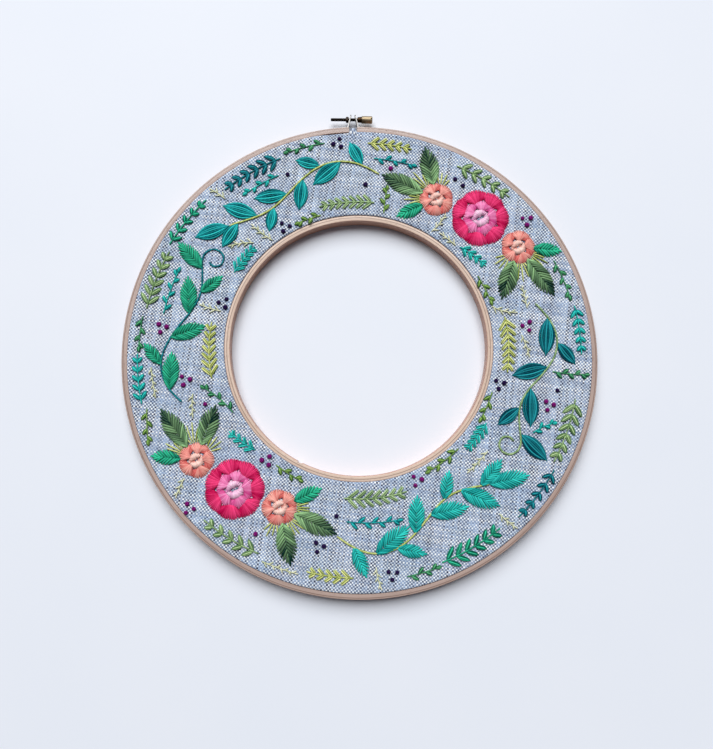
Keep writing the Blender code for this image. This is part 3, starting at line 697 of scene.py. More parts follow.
nut_low, nut_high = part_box("screw_nut")
nut_radius = (nut_high.z - nut_low.z) / 2
nut = turned("hexagon_nut", [
    (nut_low.x, HOLE_RADIUS), (nut_low.x, nut_radius - 2 * SHARD), (nut_low.x + SHARD, nut_radius),
    (nut_high.x - SHARD, nut_radius), (nut_high.x, nut_radius - 2 * SHARD), (nut_high.x, HOLE_RADIUS),
], 6, dark_steel)
finish_piece(nut, "steel", ["screw_nut"])


# Stitches are stranded cotton floss. Each one comes up through the cloth, lies over it in a low
# arch and goes down again, and side by side they make the glossy satin of petals and leaves.
FLOSS_SIDES, STITCH_POINTS, PLUNGE = 6, 6, 0.3 * MM
THREAD_TAPER, TAPER_SHARPNESS = 0.45, 5.0  # how much thinner a thread is where it enters the cloth
SATIN_FLATNESS, SATIN_ARCH = 0.62, 0.6
DOWN = (0.0, 0.0, -1.0)
STRAND_LENGTH, STRAND_TURN = 0.42 * MM, 5.2  # a strand's twist along the thread, and across it
# The second and third of these set painted shade in the floss's colour: between its twisted strands, and down
# each side where neighbouring threads meet.
FLOSS_LIGHT, STRAND_PAINTED_SHADE, GROOVE_PAINTED_SHADE, SHADE_SPREAD = 0.98, 0.1, 0.66, 0.3
FLOSS_COLOURS = {
    "crimson": ((190, 14, 76), (255, 76, 136)),
    "pink": ((214, 72, 142), (255, 160, 208)),
    "pale_pink": ((214, 126, 182), (254, 214, 236)),
    "coral": ((214, 98, 94), (255, 188, 174)),
    "pale_coral": ((232, 152, 138), (255, 218, 206)),
    "teal": ((2, 96, 108), (50, 202, 200)),
    "green": ((8, 94, 78), (60, 206, 160)),
    "turquoise": ((0, 122, 124), (62, 222, 210)),
    "deep_teal": ((4, 64, 82), (42, 160, 170)),
    "forest": ((8, 46, 44), (158, 204, 144)),
    "sage": ((84, 124, 74), (190, 220, 160)),
    "lime": ((136, 160, 54), (236, 242, 156)),
    "olive": ((60, 104, 44), (156, 196, 104)),
    "leaf_green": ((20, 92, 62), (98, 186, 128)),
    "cream": ((190, 204, 150), (246, 246, 214)),
    "purple": ((70, 4, 74), (160, 38, 138)),
    "navy": ((14, 6, 34), (56, 36, 92)),
}
Station = namedtuple("Station", "place near far lean rise tone")


def capture(geometry, **values):
    """The geometry, with each value kept on it as it is there, under its name."""
    node = add_node("GeometryNodeCaptureAttribute", {"Geometry": geometry}).socket.node
    for name, value in values.items():
        kind = value.socket.type
        node.capture_items.new("FLOAT" if kind == "VALUE" else kind, name)
        feed(node, {name: value})
    return Wire(node.outputs[0])


def make_floss_group():
    """One thread along every curve: rounded, a little flat, thinner where it enters the cloth."""
    tree, given = group_with(
        "Floss", "GeometryNodeTree",
        {"Geometry": ["Paths"], "Float": ["Radius", "Flatness", "Tone", "Shade"]}, {"Geometry": ["Geometry"]},
    )
    spline = add_node("GeometryNodeSplineParameter", {}, tree)
    upright = add_node("GeometryNodeSetCurveNormal", {"Curve": given["Paths"]}, mode="Z_UP")
    lengthwise = capture(upright, Along=spline["Length"])
    section = add_node("GeometryNodeCurvePrimitiveCircle", {"Resolution": FLOSS_SIDES, "Radius": 1.0}, tree)
    rim = capture(section, Across=parts_of(add_node("GeometryNodeInputPosition", {}, tree))[0])
    flattened = vector_of(1.0, given["Flatness"], 1.0)
    profile = add_node("GeometryNodeTransform", {"Geometry": rim, "Scale": flattened})
    from_middle = (spline["Factor"] * 2.0 - 1.0).calc("ABSOLUTE")
    taper = 1.0 - from_middle.calc("POWER", TAPER_SHARPNESS) * THREAD_TAPER
    swept = add_node("GeometryNodeCurveToMesh", {
        "Curve": lengthwise, "Profile Curve": profile, "Scale": taper * given["Radius"], "Fill Caps": True,
    })
    for name, value in (("tone", given["Tone"]), ("shade", given["Shade"]),
                        ("along", lengthwise["Along"]), ("across", rim["Across"])):
        feeds = {"Geometry": swept, "Name": name, "Value": value}
        swept = add_node("GeometryNodeStoreNamedAttribute", feeds, data_type="FLOAT", domain="POINT")
    return close_group(tree, Geometry=add_node("GeometryNodeSetShadeSmooth", {"Geometry": swept}))


floss_group = make_floss_group()


def named(tree, name):
    return add_node("GeometryNodeInputNamedAttribute", {"Name": name}, tree, data_type="FLOAT")


def random_value(low, high, seed, step, **feeds):
    return add_node("FunctionNodeRandomValue", {2: low, 3: high, "Seed": seed + float(step), **feeds})[1]


def arched(share, rise, plunge, sharpness):
    """How high a stitch stands over its path at a share of its length. Its ends are in the cloth."""
    bow = (share * math.pi).calc("SINE").calc("MAXIMUM", 0.0).calc("POWER", sharpness)
    return vector_of(z=bow * (rise + plunge) - plunge)


def sewn_along(tree, paths, given, kept):
    """The end of a stitch's tree: floss on its paths, with each stitch's own tone and shade."""
    floss = add_node("GeometryNodeGroup", {
        "Paths": paths, "Radius": given["Radius"], "Flatness": given["Flatness"],
        "Tone": kept["Tone"], "Shade": kept["Shade"],
    }, node_tree=floss_group)
    return close_tree(tree, floss, given["Material"])


def make_satin_tree():
    """Satin stitches side by side along spines. Each goes from the spine's near offset to its far one."""
    tree, given = group_with(
        "Satin stitch", "GeometryNodeTree",
        {"Geometry": ["Spines"], "Float": ["Pitch", "Radius", "Flatness", "Waver", "Plunge"], "Int": ["Seed"],
         "Material": ["Material"]},
        {"Geometry": ["Geometry"]},
    )
    lines = add_node("GeometryNodeMeshToCurve", {"Mesh": given["Spines"]})
    count = (add_node("GeometryNodeSplineLength", {}, tree) / given["Pitch"]).calc("CEIL") + 1.0
    spine = add_node("GeometryNodeResampleCurve", {"Curve": lines, "Count": count}, mode="COUNT")
    waver = [random_value(-1.0, 1.0, given["Seed"], step) * given["Waver"] for step in range(4)]

    def offset(place, ahead, distance, sideways_waver, waver_ahead):
        sideways = ahead.calc("CROSS_PRODUCT", DOWN)
        return place + sideways * (distance + sideways_waver) + ahead * waver_ahead

    place = add_node("GeometryNodeInputPosition", {}, tree)
    tangent = add_node("GeometryNodeInputTangent", {}, tree)
    far = offset(place, tangent, named(tree, "far"), waver[0], waver[1])
    behind = add_node("GeometryNodeSplineParameter", {}, tree)["Length"] - named(tree, "lean")
    start = add_node("GeometryNodeSampleCurve", {
        "Curves": spine, "Value": named(tree, "near"), "Length": behind.calc("MAXIMUM", 0.0),
        "Curve Index": add_node("GeometryNodeCurveOfPoint", {}, tree)["Curve Index"],
    }, mode="LENGTH")
    near = offset(start["Position"], start["Tangent"], start["Value"], waver[2], waver[3])
    kept = capture(
        spine, Near=near, Far=far, Rise=named(tree, "rise"), Tone=named(tree, "tone"),
        Shade=random_value(0.0, 1.0, given["Seed"], 9), Number=add_node("GeometryNodeInputIndex", {}, tree),
    )
    points = add_node("GeometryNodeCurveToPoints", {"Curve": kept}, mode="EVALUATED")
    each = {"Geometry": points, "Amount": STITCH_POINTS}
    copies = add_node("GeometryNodeDuplicateElements", each, domain="POINT")
    step = capture(copies, Share=copies["Duplicate Index"] / (STITCH_POINTS - 1.0))
    share = step["Share"]
    paths = add_node("GeometryNodePointsToCurves", {
        "Points": step, "Curve Group ID": kept["Number"], "Weight": share,
    })
    across = add_node("ShaderNodeMix", {0: share, 4: kept["Near"], 5: kept["Far"]}, data_type="VECTOR")[1]
    place = across + arched(share, kept["Rise"], given["Plunge"], SATIN_ARCH)
    laid = add_node("GeometryNodeSetPosition", {"Geometry": paths, "Position": place})
    return sewn_along(tree, laid, given, kept)


satin_tree = make_satin_tree()


def make_sheen_group():
    """Floss seen close: twisted strands with painted shade between them, painted shade in a groove down each
    side, and its own tone and random shade of dye.
    """
    tree, given = group_with("Floss surface", "ShaderNodeTree", {"Color": ["Deep", "Pale"]},
                             {"Color": ["Color"], "Float": ["Height"]})
    along, across, tone, shade = [
        add_node("ShaderNodeAttribute", {}, tree, attribute_name=name)["Fac"]
        for name in ("along", "across", "tone", "shade")
    ]
    strands = (across * STRAND_TURN + along / STRAND_LENGTH).calc("SINE") * 0.5 + 0.5
    level = tone + ramp(shade, 0.0, 1.0, -SHADE_SPREAD, SHADE_SPREAD)
    dyed = blend_colours(level.calc("MAXIMUM", 0.0).calc("MINIMUM", 1.0), given["Deep"], given["Pale"])
    # Painted shade: a thread's colour darkens down its sides and between its strands.
    groove = across.calc("ABSOLUTE").calc("POWER", 2.0) * GROOVE_PAINTED_SHADE
    light = strands * STRAND_PAINTED_SHADE + FLOSS_LIGHT - groove
    return close_group(tree, Color=darkened(dyed, light), Height=strands)


sheen_group = make_sheen_group()


def floss_material(name, deep, pale):
    light = srgb(*pale)
    material, surface = new_material("floss_" + name, 0.38, Specular_Tint=light, Sheen_Weight=0.25,
                                     Sheen_Roughness=0.4, Sheen_Tint=light)
    feeds = {"Deep": srgb(*deep), "Pale": light}
    dye = add_node("ShaderNodeGroup", feeds, material.node_tree, node_tree=sheen_group)
    feed(surface, {"Base Color": dye["Color"], "Normal": bumped(dye["Height"], 0.5, 0.08 * MM)})
    return material


flosses = {name: floss_material(name, *colours) for name, colours in FLOSS_COLOURS.items()}


def guide_mesh(name, spines):
    """Spines as rows of edges that keep each station's values."""
    stations = [station for spine in spines for station in spine]
    edges, first = [], 0
    for spine in spines:
        edges += [(i, i + 1) for i in range(first, first + len(spine) - 1)]
        first += len(spine)
    mesh = bpy.data.meshes.new(name)
    mesh.from_pydata([station.place for station in stations], edges, [])
    for value in Station._fields[1:]:
        stored = mesh.attributes.new(value, "FLOAT", "POINT")
        stored.data.foreach_set("value", [getattr(station, value) for station in stations])
    return mesh


def sew(name, spines, floss, pitch, radius, waver=0.12, seed=1):
    """Satin stitches over the spines. Sizes are in millimetres."""
    return made_by(name, satin_tree, {
        "Pitch": pitch * MM, "Radius": radius * MM, "Flatness": SATIN_FLATNESS, "Waver": waver * MM,
        "Plunge": PLUNGE, "Seed": seed, "Material": flosses[floss],
    }, guide_mesh(name, spines))


# The blossoms: padded satin petals in rings. Each petal is its own bank of stitches that lean a
# little as they cross it, and its last stitches lie over the first of the next one. Two pale
# crescents wind round each blossom's heart.
Blossom = namedtuple("Blossom", "angle share whorls")
Whorl = namedtuple("Whorl", "part floss inner outer petals rise")
CLUSTERS = {"upper": 48.0, "lower": 228.0}
LARGE_WHORLS = (
    Whorl("outer_petals", "crimson", 12.2, 19.6, 7, 1.1),
    Whorl("inner_petals", "pink", 6.0, 12.7, 5, 1.4),
    Whorl("heart", "pale_pink", 0.7, 6.7, 0, 1.7),
)
SMALL_WHORLS = (
    Whorl("petals", "coral", 4.6, 11.7, 5, 1.1),
    Whorl("heart", "pale_coral", 0.5, 5.4, 0, 1.4),
)
BLOSSOMS = {
    "bloom": Blossom(0.0, 0.50, LARGE_WHORLS),
    "bud_one": Blossom(15.1, 0.40, SMALL_WHORLS),
    "bud_two": Blossom(-14.3, 0.60, SMALL_WHORLS),
}
CRESCENTS = ((190.0, 400.0, 1.0), (20.0, 205.0, 0.9))  # start, end in degrees, share of the radius
CRESCENT_NARROW, CRESCENT_LOW, CRESCENT_DRAWN_IN = 0.2, 0.3, 0.12  # at its ends
CRESCENT_TONE, CRESCENT_PALER = 0.2, 0.6
PETAL_STATIONS, PETAL_OVERLAP, PETAL_LEAN = 16, 0.15, 2.2 * MM
PETAL_ROUND, PETAL_TUCK = 0.34, 0.1  # how much its ends round off, and how low its start lies
PETAL_ROOT = 3.6  # how far its stitches reach under the next whorl, in millimetres
PETAL_CLIMB, PETAL_DROP = 0.7, 12  # powers, of how it rises along its edge and then ends
# Painted shade: a petal's tone is deepest at its tucked start, under the end of the petal before it, and
# grows paler as it climbs.
PETAL_START_PAINTED_SHADE, PETAL_PALER = -0.3, 1.2
THREAD_Z = FACE_Z + 0.3 * MM


def along(heading, length=1.0):
    return Vector((math.cos(heading), math.sin(heading), 0.0)) * length


def band(angle, share):
    """The place on the cloth at an angle in degrees and a share of the way out."""
    out = along(math.radians(angle))
    place = (small_middle + out * THROAT).lerp(hoop_middle + out * CLOTH_EDGE, share)
    return Vector((place.x, place.y, THREAD_Z))


def fullness(share):
    """0 at both ends of a petal and 1 in its middle, rounded off."""
    return max(0.0, math.sin(math.pi * share)) ** 0.6


def petal(middle, start, end, whorl):
    """Stations along a petal's outer edge, whose stitches run in towards the blossom's middle."""
    spine = []
    for i in range(PETAL_STATIONS):
        share = i / (PETAL_STATIONS - 1)
        edge = whorl.inner + (whorl.outer - whorl.inner) * (1 - PETAL_ROUND * (1 - fullness(share)))
        climb = PETAL_TUCK + (1 - PETAL_TUCK) * share**PETAL_CLIMB * (1 - share**PETAL_DROP)
        place = middle + along(start + (end - start) * share, edge * MM)
        depth = (edge - whorl.inner + PETAL_ROOT) * MM
        # Painted shade at the tucked start, paler towards the raised end.
        tone = PETAL_START_PAINTED_SHADE + PETAL_PALER * climb
        spine.append(Station(place, depth, 0.0, PETAL_LEAN, whorl.rise * climb * MM, tone))
    return spine


def crescent(middle, start, end, whorl, spread):
    """Stations along the outer edge of a crescent, which is narrow and low at both of its ends."""
    spine = []
    for i in range(PETAL_STATIONS):
        share = i / (PETAL_STATIONS - 1)
        full = fullness(share)
        edge = whorl.outer * spread * (1 - CRESCENT_DRAWN_IN * (1 - full)) * MM
        depth = (whorl.outer - whorl.inner) * spread * (CRESCENT_NARROW + (1 - CRESCENT_NARROW) * full) * MM
        rise = whorl.rise * (CRESCENT_LOW + (1 - CRESCENT_LOW) * full) * MM
        place = middle + along(start + (end - start) * share, edge)
        tone = CRESCENT_TONE + CRESCENT_PALER * full
        spine.append(Station(place, depth, 0.0, PETAL_LEAN / 2, rise, tone))
    return spine


for cluster, cluster_angle in CLUSTERS.items():
    for number, (blossom_name, blossom) in enumerate(BLOSSOMS.items()):
        middle = band(cluster_angle + blossom.angle, blossom.share)
        for whorl in blossom.whorls:
            spines = []
            for i in range(whorl.petals):
                turn = math.tau * (i + 0.5 * number) / whorl.petals
                reach = math.tau * (0.5 + PETAL_OVERLAP) / whorl.petals
                spines.append(petal(middle, turn - reach, turn + reach, whorl))
            if not whorl.petals:
                spines = [crescent(middle, math.radians(start), math.radians(end), whorl, spread)
                          for start, end, spread in CRESCENTS]
            node = f"{cluster}_{blossom_name}_{whorl.part}"
            petals = sew("sewn_" + node, spines, whorl.floss, pitch=1.3, radius=0.74, waver=0.13, seed=number)
            finish_piece(petals, "thread_" + whorl.floss, [node])


# The single leaves by the blossoms: fishbone stitch, two rows of long stitches that slant from
# the edge down to the middle and cross there. The dark ones pass from pale to dark on the way out.
Leaf = namedtuple("Leaf", "node floss blossom turn length width")
LEAVES = (
    Leaf("leaf_one", "forest", "bud_one", 38, 26.0, 13.0),
    Leaf("leaf_two", "forest", "bud_one", 92, 29.0, 13.0),
    Leaf("leaf_three", "green", "bud_one", 141, 18.0, 9.5),
    Leaf("leaf_four", "forest", "bud_two", -142, 26.0, 13.0),
    Leaf("leaf_five", "forest", "bud_two", -88, 29.0, 13.0),
    Leaf("leaf_six", "green", "bud_two", -39, 18.0, 9.5),
)
LEAF_TONES = {"forest": (0.95, 0.0), "green": (0.2, 0.8)}  # of its base and its tip
LEAF_STATIONS, LEAF_CROSSING, LEAF_RISE = 14, 0.35 * MM, 0.8 * MM
LEAF_LOW, LEAF_POINT = 0.25, 0.85  # how low its ends lie, and how pointed they are
LEAF_TUCK = 1.2 * MM  # how far a leaf starts under the petals
FISHBONE_SLANT = 0.26  # how far up the leaf a stitch reaches, as a share of it


def leaf_spines(base, heading, length, width, tones):
    """A leaf's two rows of stitches. tones are those of its base and its tip."""
    spines, slant = [], FISHBONE_SLANT * length
    for side in (1, -1):
        spine = []
        for i in range(LEAF_STATIONS):
            share = i / (LEAF_STATIONS - 1)
            half = width / 2 * (4 * share * (1 - share)) ** LEAF_POINT
            tone = tones[0] + (tones[1] - tones[0]) * share
            rise = LEAF_RISE * (LEAF_LOW + (1 - LEAF_LOW) * 2 * half / width)
            place = base + along(heading, length * share)
            spine.append(Station(place, -side * LEAF_CROSSING, side * half, slant, rise, tone))
        spines.append(spine)
    return spines


for cluster, cluster_angle in CLUSTERS.items():
    for number, leaf in enumerate(LEAVES):
        blossom = BLOSSOMS[leaf.blossom]
        angle = cluster_angle + blossom.angle
        heading = math.radians(angle + leaf.turn)
        base = band(angle, blossom.share) + along(heading, blossom.whorls[0].outer * MM - LEAF_TUCK)
        node = f"{cluster}_{leaf.node}"
        length = leaf.length * MM + LEAF_TUCK
        spines = leaf_spines(base, heading, length, leaf.width * MM, LEAF_TONES[leaf.floss])
        piece = sew("sewn_" + node, spines, leaf.floss, pitch=2.1, radius=0.8, waver=0.22, seed=number)
        finish_piece(piece, "thread_" + leaf.floss, [node])


# The vines: a stem in stem stitch, each stitch half overlapping the last, and leaves of long satin
# or fishbone stitch on either side of it. Two of them end in a leaf and two wind up in a curl.
Vine = namedtuple("Vine", "node floss stem_floss start end leaves length width ending stitch")
VINES = (
    Vine("top_vine", "teal", "lime", 84, 136, 8, 26.5, 11.0, "leaf", "long"),
    Vine("left_vine", "green", "deep_teal", 196, 150, 6, 28.0, 11.5, "curl", "fishbone"),
    Vine("bottom_vine", "turquoise", "lime", 263, 314, 8, 29.0, 12.0, "leaf", "fishbone"),
    Vine("right_vine", "deep_teal", "sage", 15, -30, 6, 29.0, 12.0, "curl", "long"),
)
VINE_SHARE, VINE_WAVE = 0.50, 0.15
LEAF_LEAN, LEAF_ROOT = math.radians(40.0), 0.2 * MM  # its root clears the stem's middle by that much
FIRST_LEAF, LAST_LEAF = 0.10, 0.95
LEAF_SHORT = 2.4 * MM  # what the stem covers of a leaf's length
LEAF_SIZE, LEAF_SWING, VINE_TONES = 0.88, 0.16, (0.3, 0.7)
STEM_POINTS, PATH_STEP = 40, 0.01
CURL_TURNS, CURL_RADIUS, CURL_TIGHTENING, CURL_POINTS = 0.95, 8.5 * MM, 0.55, 20
STEM_HALF, STEM_LEAN, STEM_RISE = 0.3 * MM, 3.5 * MM, 0.35 * MM
LAID_FLATNESS, LAID_ARCH = 0.75, 0.4
LONG_PITCH, LONG_RISE, LONG_LOW, LONG_TRIM, LONG_POINTS = 1.4 * MM, 0.8, 0.4, 0.1, 10
LONG_TONE, LONG_SHADE, LONG_MOTTLE, MOTTLE_STEP = 0.45, 0.25, 0.5, 2.4
LONG_SLIM = 0.84  # a satin leaf is that share of a fishbone leaf's width
BARB_POINTS = 7
Laid = namedtuple("Laid", "points rise tone")


def heading_of(path, t):
    """The direction in which a path, a function of t from 0 to 1, runs at t."""
    stretch = path(t + PATH_STEP) - path(t - PATH_STEP)
    return math.atan2(stretch.y, stretch.x)


def curl(end, heading, side):
    """Points that wind a stem's end into a small spiral, on its left for side 1 and its right for -1."""
    across = heading + side * math.pi / 2
    middle = end + along(across, CURL_RADIUS)
    wound = []
    for i in range(1, CURL_POINTS + 1):
        share = i / CURL_POINTS
        turn = across + math.pi + side * math.tau * CURL_TURNS * share
        wound.append(middle + along(turn, CURL_RADIUS * (1 - CURL_TIGHTENING * share)))
    return wound


def make_laid_tree():
    """Single stitches, each laid along its own line, straight or bowed."""
    tree, given = group_with(
        "Laid stitch", "GeometryNodeTree",
        {"Geometry": ["Lines"], "Float": ["Radius", "Flatness", "Plunge"], "Int": ["Points", "Seed"],
         "Material": ["Material"]},
        {"Geometry": ["Geometry"]},
    )
    lines = add_node("GeometryNodeMeshToCurve", {"Mesh": given["Lines"]})
    spaced = add_node("GeometryNodeResampleCurve", {"Curve": lines, "Count": given["Points"]}, mode="COUNT")
    which = add_node("GeometryNodeCurveOfPoint", {}, tree)["Curve Index"]
    shade = random_value(0.0, 1.0, given["Seed"], 5, ID=which)
    kept = capture(spaced, Tone=named(tree, "tone"), Shade=shade, Rise=named(tree, "rise"))
    share = add_node("GeometryNodeSplineParameter", {}, tree)["Factor"]
    lifted = arched(share, kept["Rise"], given["Plunge"], LAID_ARCH)
    laid = add_node("GeometryNodeSetPosition", {"Geometry": kept, "Offset": lifted})
    return sewn_along(tree, laid, given, kept)


laid_tree = make_laid_tree()


def lay(name, stitches, floss, radius, points=BARB_POINTS, seed=1):
    """Single stitches along their own points. Sizes are in millimetres."""
    spines = [[Station(point, 0.0, 0.0, 0.0, stitch.rise * MM, stitch.tone) for point in stitch.points]
              for stitch in stitches]
    return made_by(name, laid_tree, {
        "Points": points, "Radius": radius * MM, "Flatness": LAID_FLATNESS, "Plunge": PLUNGE, "Seed": seed,
        "Material": flosses[floss],
    }, guide_mesh(name, spines))


def bowed(start, end, bow, points=BARB_POINTS, trim=0.0):
    """A line from start to end that bows sideways by that much in its middle, trimmed at both ends."""
    across = (end - start).cross(Vector((0.0, 0.0, 1.0))).normalized()
    shares = [trim + (1 - 2 * trim) * i / (points - 1) for i in range(points)]
    return [start.lerp(end, share) + across * bow * math.sin(math.pi * share) for share in shares]


def long_satin(base, heading, length, width):
    """A leaf of long stitches that lie side by side from its base to its tip."""
    tip = base + along(heading, length)
    rows = round(LONG_SLIM * width / LONG_PITCH) + 1
    stitches = []
    for i in range(rows):
        across = 2 * i / (rows - 1) - 1
        line = bowed(base, tip, across * LONG_SLIM * width / 2, LONG_POINTS, LONG_TRIM * across**2)
        rise = LONG_RISE * (LONG_LOW + (1 - LONG_LOW) * (1 - across**2))
        mottle = LONG_MOTTLE * math.sin(i * MOTTLE_STEP + heading)
        stitches.append(Laid(line, rise, LONG_TONE - LONG_SHADE * across + mottle))
    return stitches


for number, vine in enumerate(VINES):
    turning = 1 if vine.end > vine.start else -1

    def stem(t):
        share = VINE_SHARE + VINE_WAVE * math.sin(math.tau * t)
        return band(vine.start + (vine.end - vine.start) * t, share)

    leaves = []
    for i in range(vine.leaves):
        t = FIRST_LEAF + (LAST_LEAF - FIRST_LEAF) * i / (vine.leaves - 1)
        side = 1 if i % 2 else -1
        leaves.append((t, side * LEAF_LEAN, LEAF_SIZE + LEAF_SWING * side * turning * math.sin(math.tau * t)))
    points = [stem(i / (STEM_POINTS - 1)) for i in range(STEM_POINTS)]
    if vine.ending == "leaf":
        leaves.append((1.0, 0.0, 1.0))
    else:
        points += curl(points[-1], heading_of(stem, 1.0), turning)

    spines, stitches = [], []
    for t, lean, grown in leaves:
        heading = heading_of(stem, t) + lean
        base = stem(t) + along(heading, LEAF_ROOT)
        length, width = vine.length * grown * MM - LEAF_SHORT, vine.width * grown * MM
        if vine.stitch == "long":
            stitches += long_satin(base, heading, length, width)
        else:
            spines += leaf_spines(base, heading, length, width, VINE_TONES)
    name = f"sewn_{vine.node}_leaves"
    if stitches:
        piece = lay(name, stitches, vine.floss, radius=0.68, points=LONG_POINTS, seed=number)
    else:
        piece = sew(name, spines, vine.floss, pitch=1.9, radius=0.7, waver=0.18, seed=number)
    finish_piece(piece, "thread_" + vine.floss, [vine.node])
    spine = [Station(point, -STEM_HALF, STEM_HALF, STEM_LEAN, STEM_RISE, 0.5) for point in points]
    piece = sew(f"sewn_{vine.node}_stem", [spine], vine.stem_floss, pitch=1.7, radius=0.55, seed=number)
    finish_piece(piece, "thread_" + vine.stem_floss, [vine.node])


# The ferns and sprigs: a rib in back stitch with pairs of barbs. A fern's barb is two straight
# stitches side by side, and a sprig's is a small leaf of three, bowed out from each other.
Sprig = namedtuple("Sprig", "node floss start end share drift pairs length width")
SPRIGS = [Sprig(*row) for row in (
    ("top_fern", "sage", 84, 104, 0.15, 0.0, 7, 7.5, 1.5),
    ("top_sprig", "deep_teal", 112, 128, 0.85, 0.0, 6, 9.0, 3.0),
    ("top_outer_fern", "lime", 88, 77, 0.86, 0.0, 5, 7.0, 1.6),
    ("left_fern", "lime", 192, 172, 0.15, 0.0, 7, 8.0, 1.5),
    ("left_sprig", "sage", 168, 153, 0.86, 0.0, 6, 9.5, 3.0),
    ("left_outer_sprig", "turquoise", 193, 181, 0.89, 0.0, 5, 7.0, 2.6),
    ("left_corner_sprig", "green", 150, 136, 0.90, 0.0, 5, 7.0, 2.6),
    ("left_corner_fern", "turquoise", 149, 137, 0.12, 0.0, 5, 6.5, 1.6),
    ("bottom_fern", "sage", 264, 286, 0.15, 0.0, 7, 9.0, 1.6),
    ("bottom_sprig", "green", 291, 307, 0.86, 0.0, 6, 10.5, 3.2),
    ("bottom_outer_fern", "lime", 268, 257, 0.86, 0.0, 5, 7.0, 1.6),
    ("right_fern", "lime", 12, -8, 0.15, 0.0, 7, 8.5, 1.6),
    ("right_sprig", "sage", -12, -28, 0.86, 0.0, 6, 10.0, 3.2),
    ("right_outer_sprig", "turquoise", 13, 1, 0.89, 0.0, 5, 7.0, 2.6),
    ("right_corner_sprig", "deep_teal", -31, -45, 0.90, 0.0, 5, 7.0, 2.6),
    ("right_corner_fern", "turquoise", -31, -43, 0.12, 0.0, 5, 6.5, 1.6),
    ("upper_outer_sprig", "sage", 63, 48, 0.86, 0.04, 5, 8.5, 2.8),
    ("upper_inner_fern", "turquoise", 45, 34, 0.10, 0.08, 4, 6.0, 1.6),
    ("lower_outer_sprig", "sage", 243, 228, 0.86, 0.04, 5, 8.5, 2.8),
    ("lower_inner_fern", "turquoise", 225, 214, 0.10, 0.08, 4, 6.0, 1.6),
)]
BARB_LEAN, BARB_TAPER, RIB_TIP = math.radians(42.0), 0.4, 1.08
FERN_WIDTH = 2.0 * MM  # a barb narrower than this is two straight stitches
FERN_GAP, FERN_CLOSING, SPRIG_BOW = 0.4, 0.8, 0.36
VEIN_START, VEIN_END = 0.08, 0.94  # of a sprig's leaf
RIB_STITCH, RIB_OVERLAP = 3.2 * MM, 0.12


def barb(base, heading, length, width):
    """One barb: two stitches beside each other in a fern, three in the shape of a leaf in a sprig."""
    tip = base + along(heading, length)
    if width < FERN_WIDTH:
        gap = along(heading + math.pi / 2) * width * FERN_GAP
        return [Laid([base + gap, tip + gap * FERN_CLOSING], 0.5, 0.9),
                Laid([base - gap, tip - gap * FERN_CLOSING], 0.45, 0.45)]
    # A sprig's leaf gets painted shade on its two edge stitches and a painted highlight on its raised vein
    # stitch.
    vein = [base + along(heading, length * VEIN_START), base + along(heading, length * VEIN_END)]
    edges = [Laid(bowed(base, tip, side * width * SPRIG_BOW), 0.45, 0.1) for side in (1, -1)]
    return edges + [Laid(vein, 0.7, 1.0)]


def rib_stitches(path, end):
    """Back stitch along a path, from 0 to end: short stitches that meet, end to end."""
    length = (path(end) - path(0.0)).length
    count = max(1, round(length / RIB_STITCH))
    return [Laid([path(end * i / count), path(end * (i + 1 + RIB_OVERLAP) / count)], 0.35, 0.5)
            for i in range(count)]


for number, sprig in enumerate(SPRIGS):
    def rib(t):
        return band(sprig.start + (sprig.end - sprig.start) * t, sprig.share + sprig.drift * t)

    stitches = rib_stitches(rib, RIB_TIP)
    for pair in range(sprig.pairs):
        t = (pair + 0.5) / sprig.pairs
        for side in (1, -1):
            heading = heading_of(rib, t) + side * BARB_LEAN
            stitches += barb(rib(t), heading, sprig.length * (1 - BARB_TAPER * t) * MM, sprig.width * MM)
    piece = lay("sewn_" + sprig.node, stitches, sprig.floss, radius=0.54, seed=number)
    finish_piece(piece, "thread_" + sprig.floss, [sprig.node])


# The branches that fill the gaps between the ferns: a bowed stem in back stitch with small leaves
# on alternate sides, each a lazy daisy stitch. The pale ones are twigs of single straight stitches.
Branch = namedtuple("Branch", "floss angle share turn length bow leaves leaf")
DAISY_BRANCHES = [Branch(*row) for row in (
    ("olive", -19, 0.05, -90, 18, -0.08, 4, 6.0), ("turquoise", -25.5, 0.56, 62, 14, -0.20, 4, 5.0),
    ("leaf_green", -6, 0.60, -4, 21, 0.08, 5, 5.5), ("olive", 31, 0.05, -90, 18, -0.08, 4, 6.0),
    ("leaf_green", 26, 0.86, -88, 25, -0.10, 5, 6.0), ("olive", 79.5, 0.04, 8, 16, -0.08, 4, 5.5),
    ("teal", 86, 0.68, -90, 26, -0.10, 5, 5.5), ("leaf_green", 99.5, 0.89, 90, 25, 0.08, 5, 5.5),
    ("olive", 106.0, 0.05, 90, 15, 0.06, 4, 5.5), ("turquoise", 114.5, 0.67, 90, 24, 0.09, 5, 5.5),
    ("turquoise", 169, 0.67, -90, 29, -0.11, 6, 6.0), ("leaf_green", 170, 0.88, 90, 20, 0.07, 4, 6.0),
    ("olive", 194.5, 0.85, 76, 20, 0.05, 4, 6.0), ("leaf_green", 208, 0.06, -80, 24, 0.20, 5, 5.5),
    ("olive", 235, 0.08, 88, 17, 0.08, 4, 5.5), ("teal", 265.5, 0.36, 88, 32, 0.14, 7, 6.5),
    ("leaf_green", 281.5, 0.89, 90, 19, 0.07, 4, 6.0), ("olive", 314, 0.06, -90, 23, -0.12, 5, 6.0),
)]
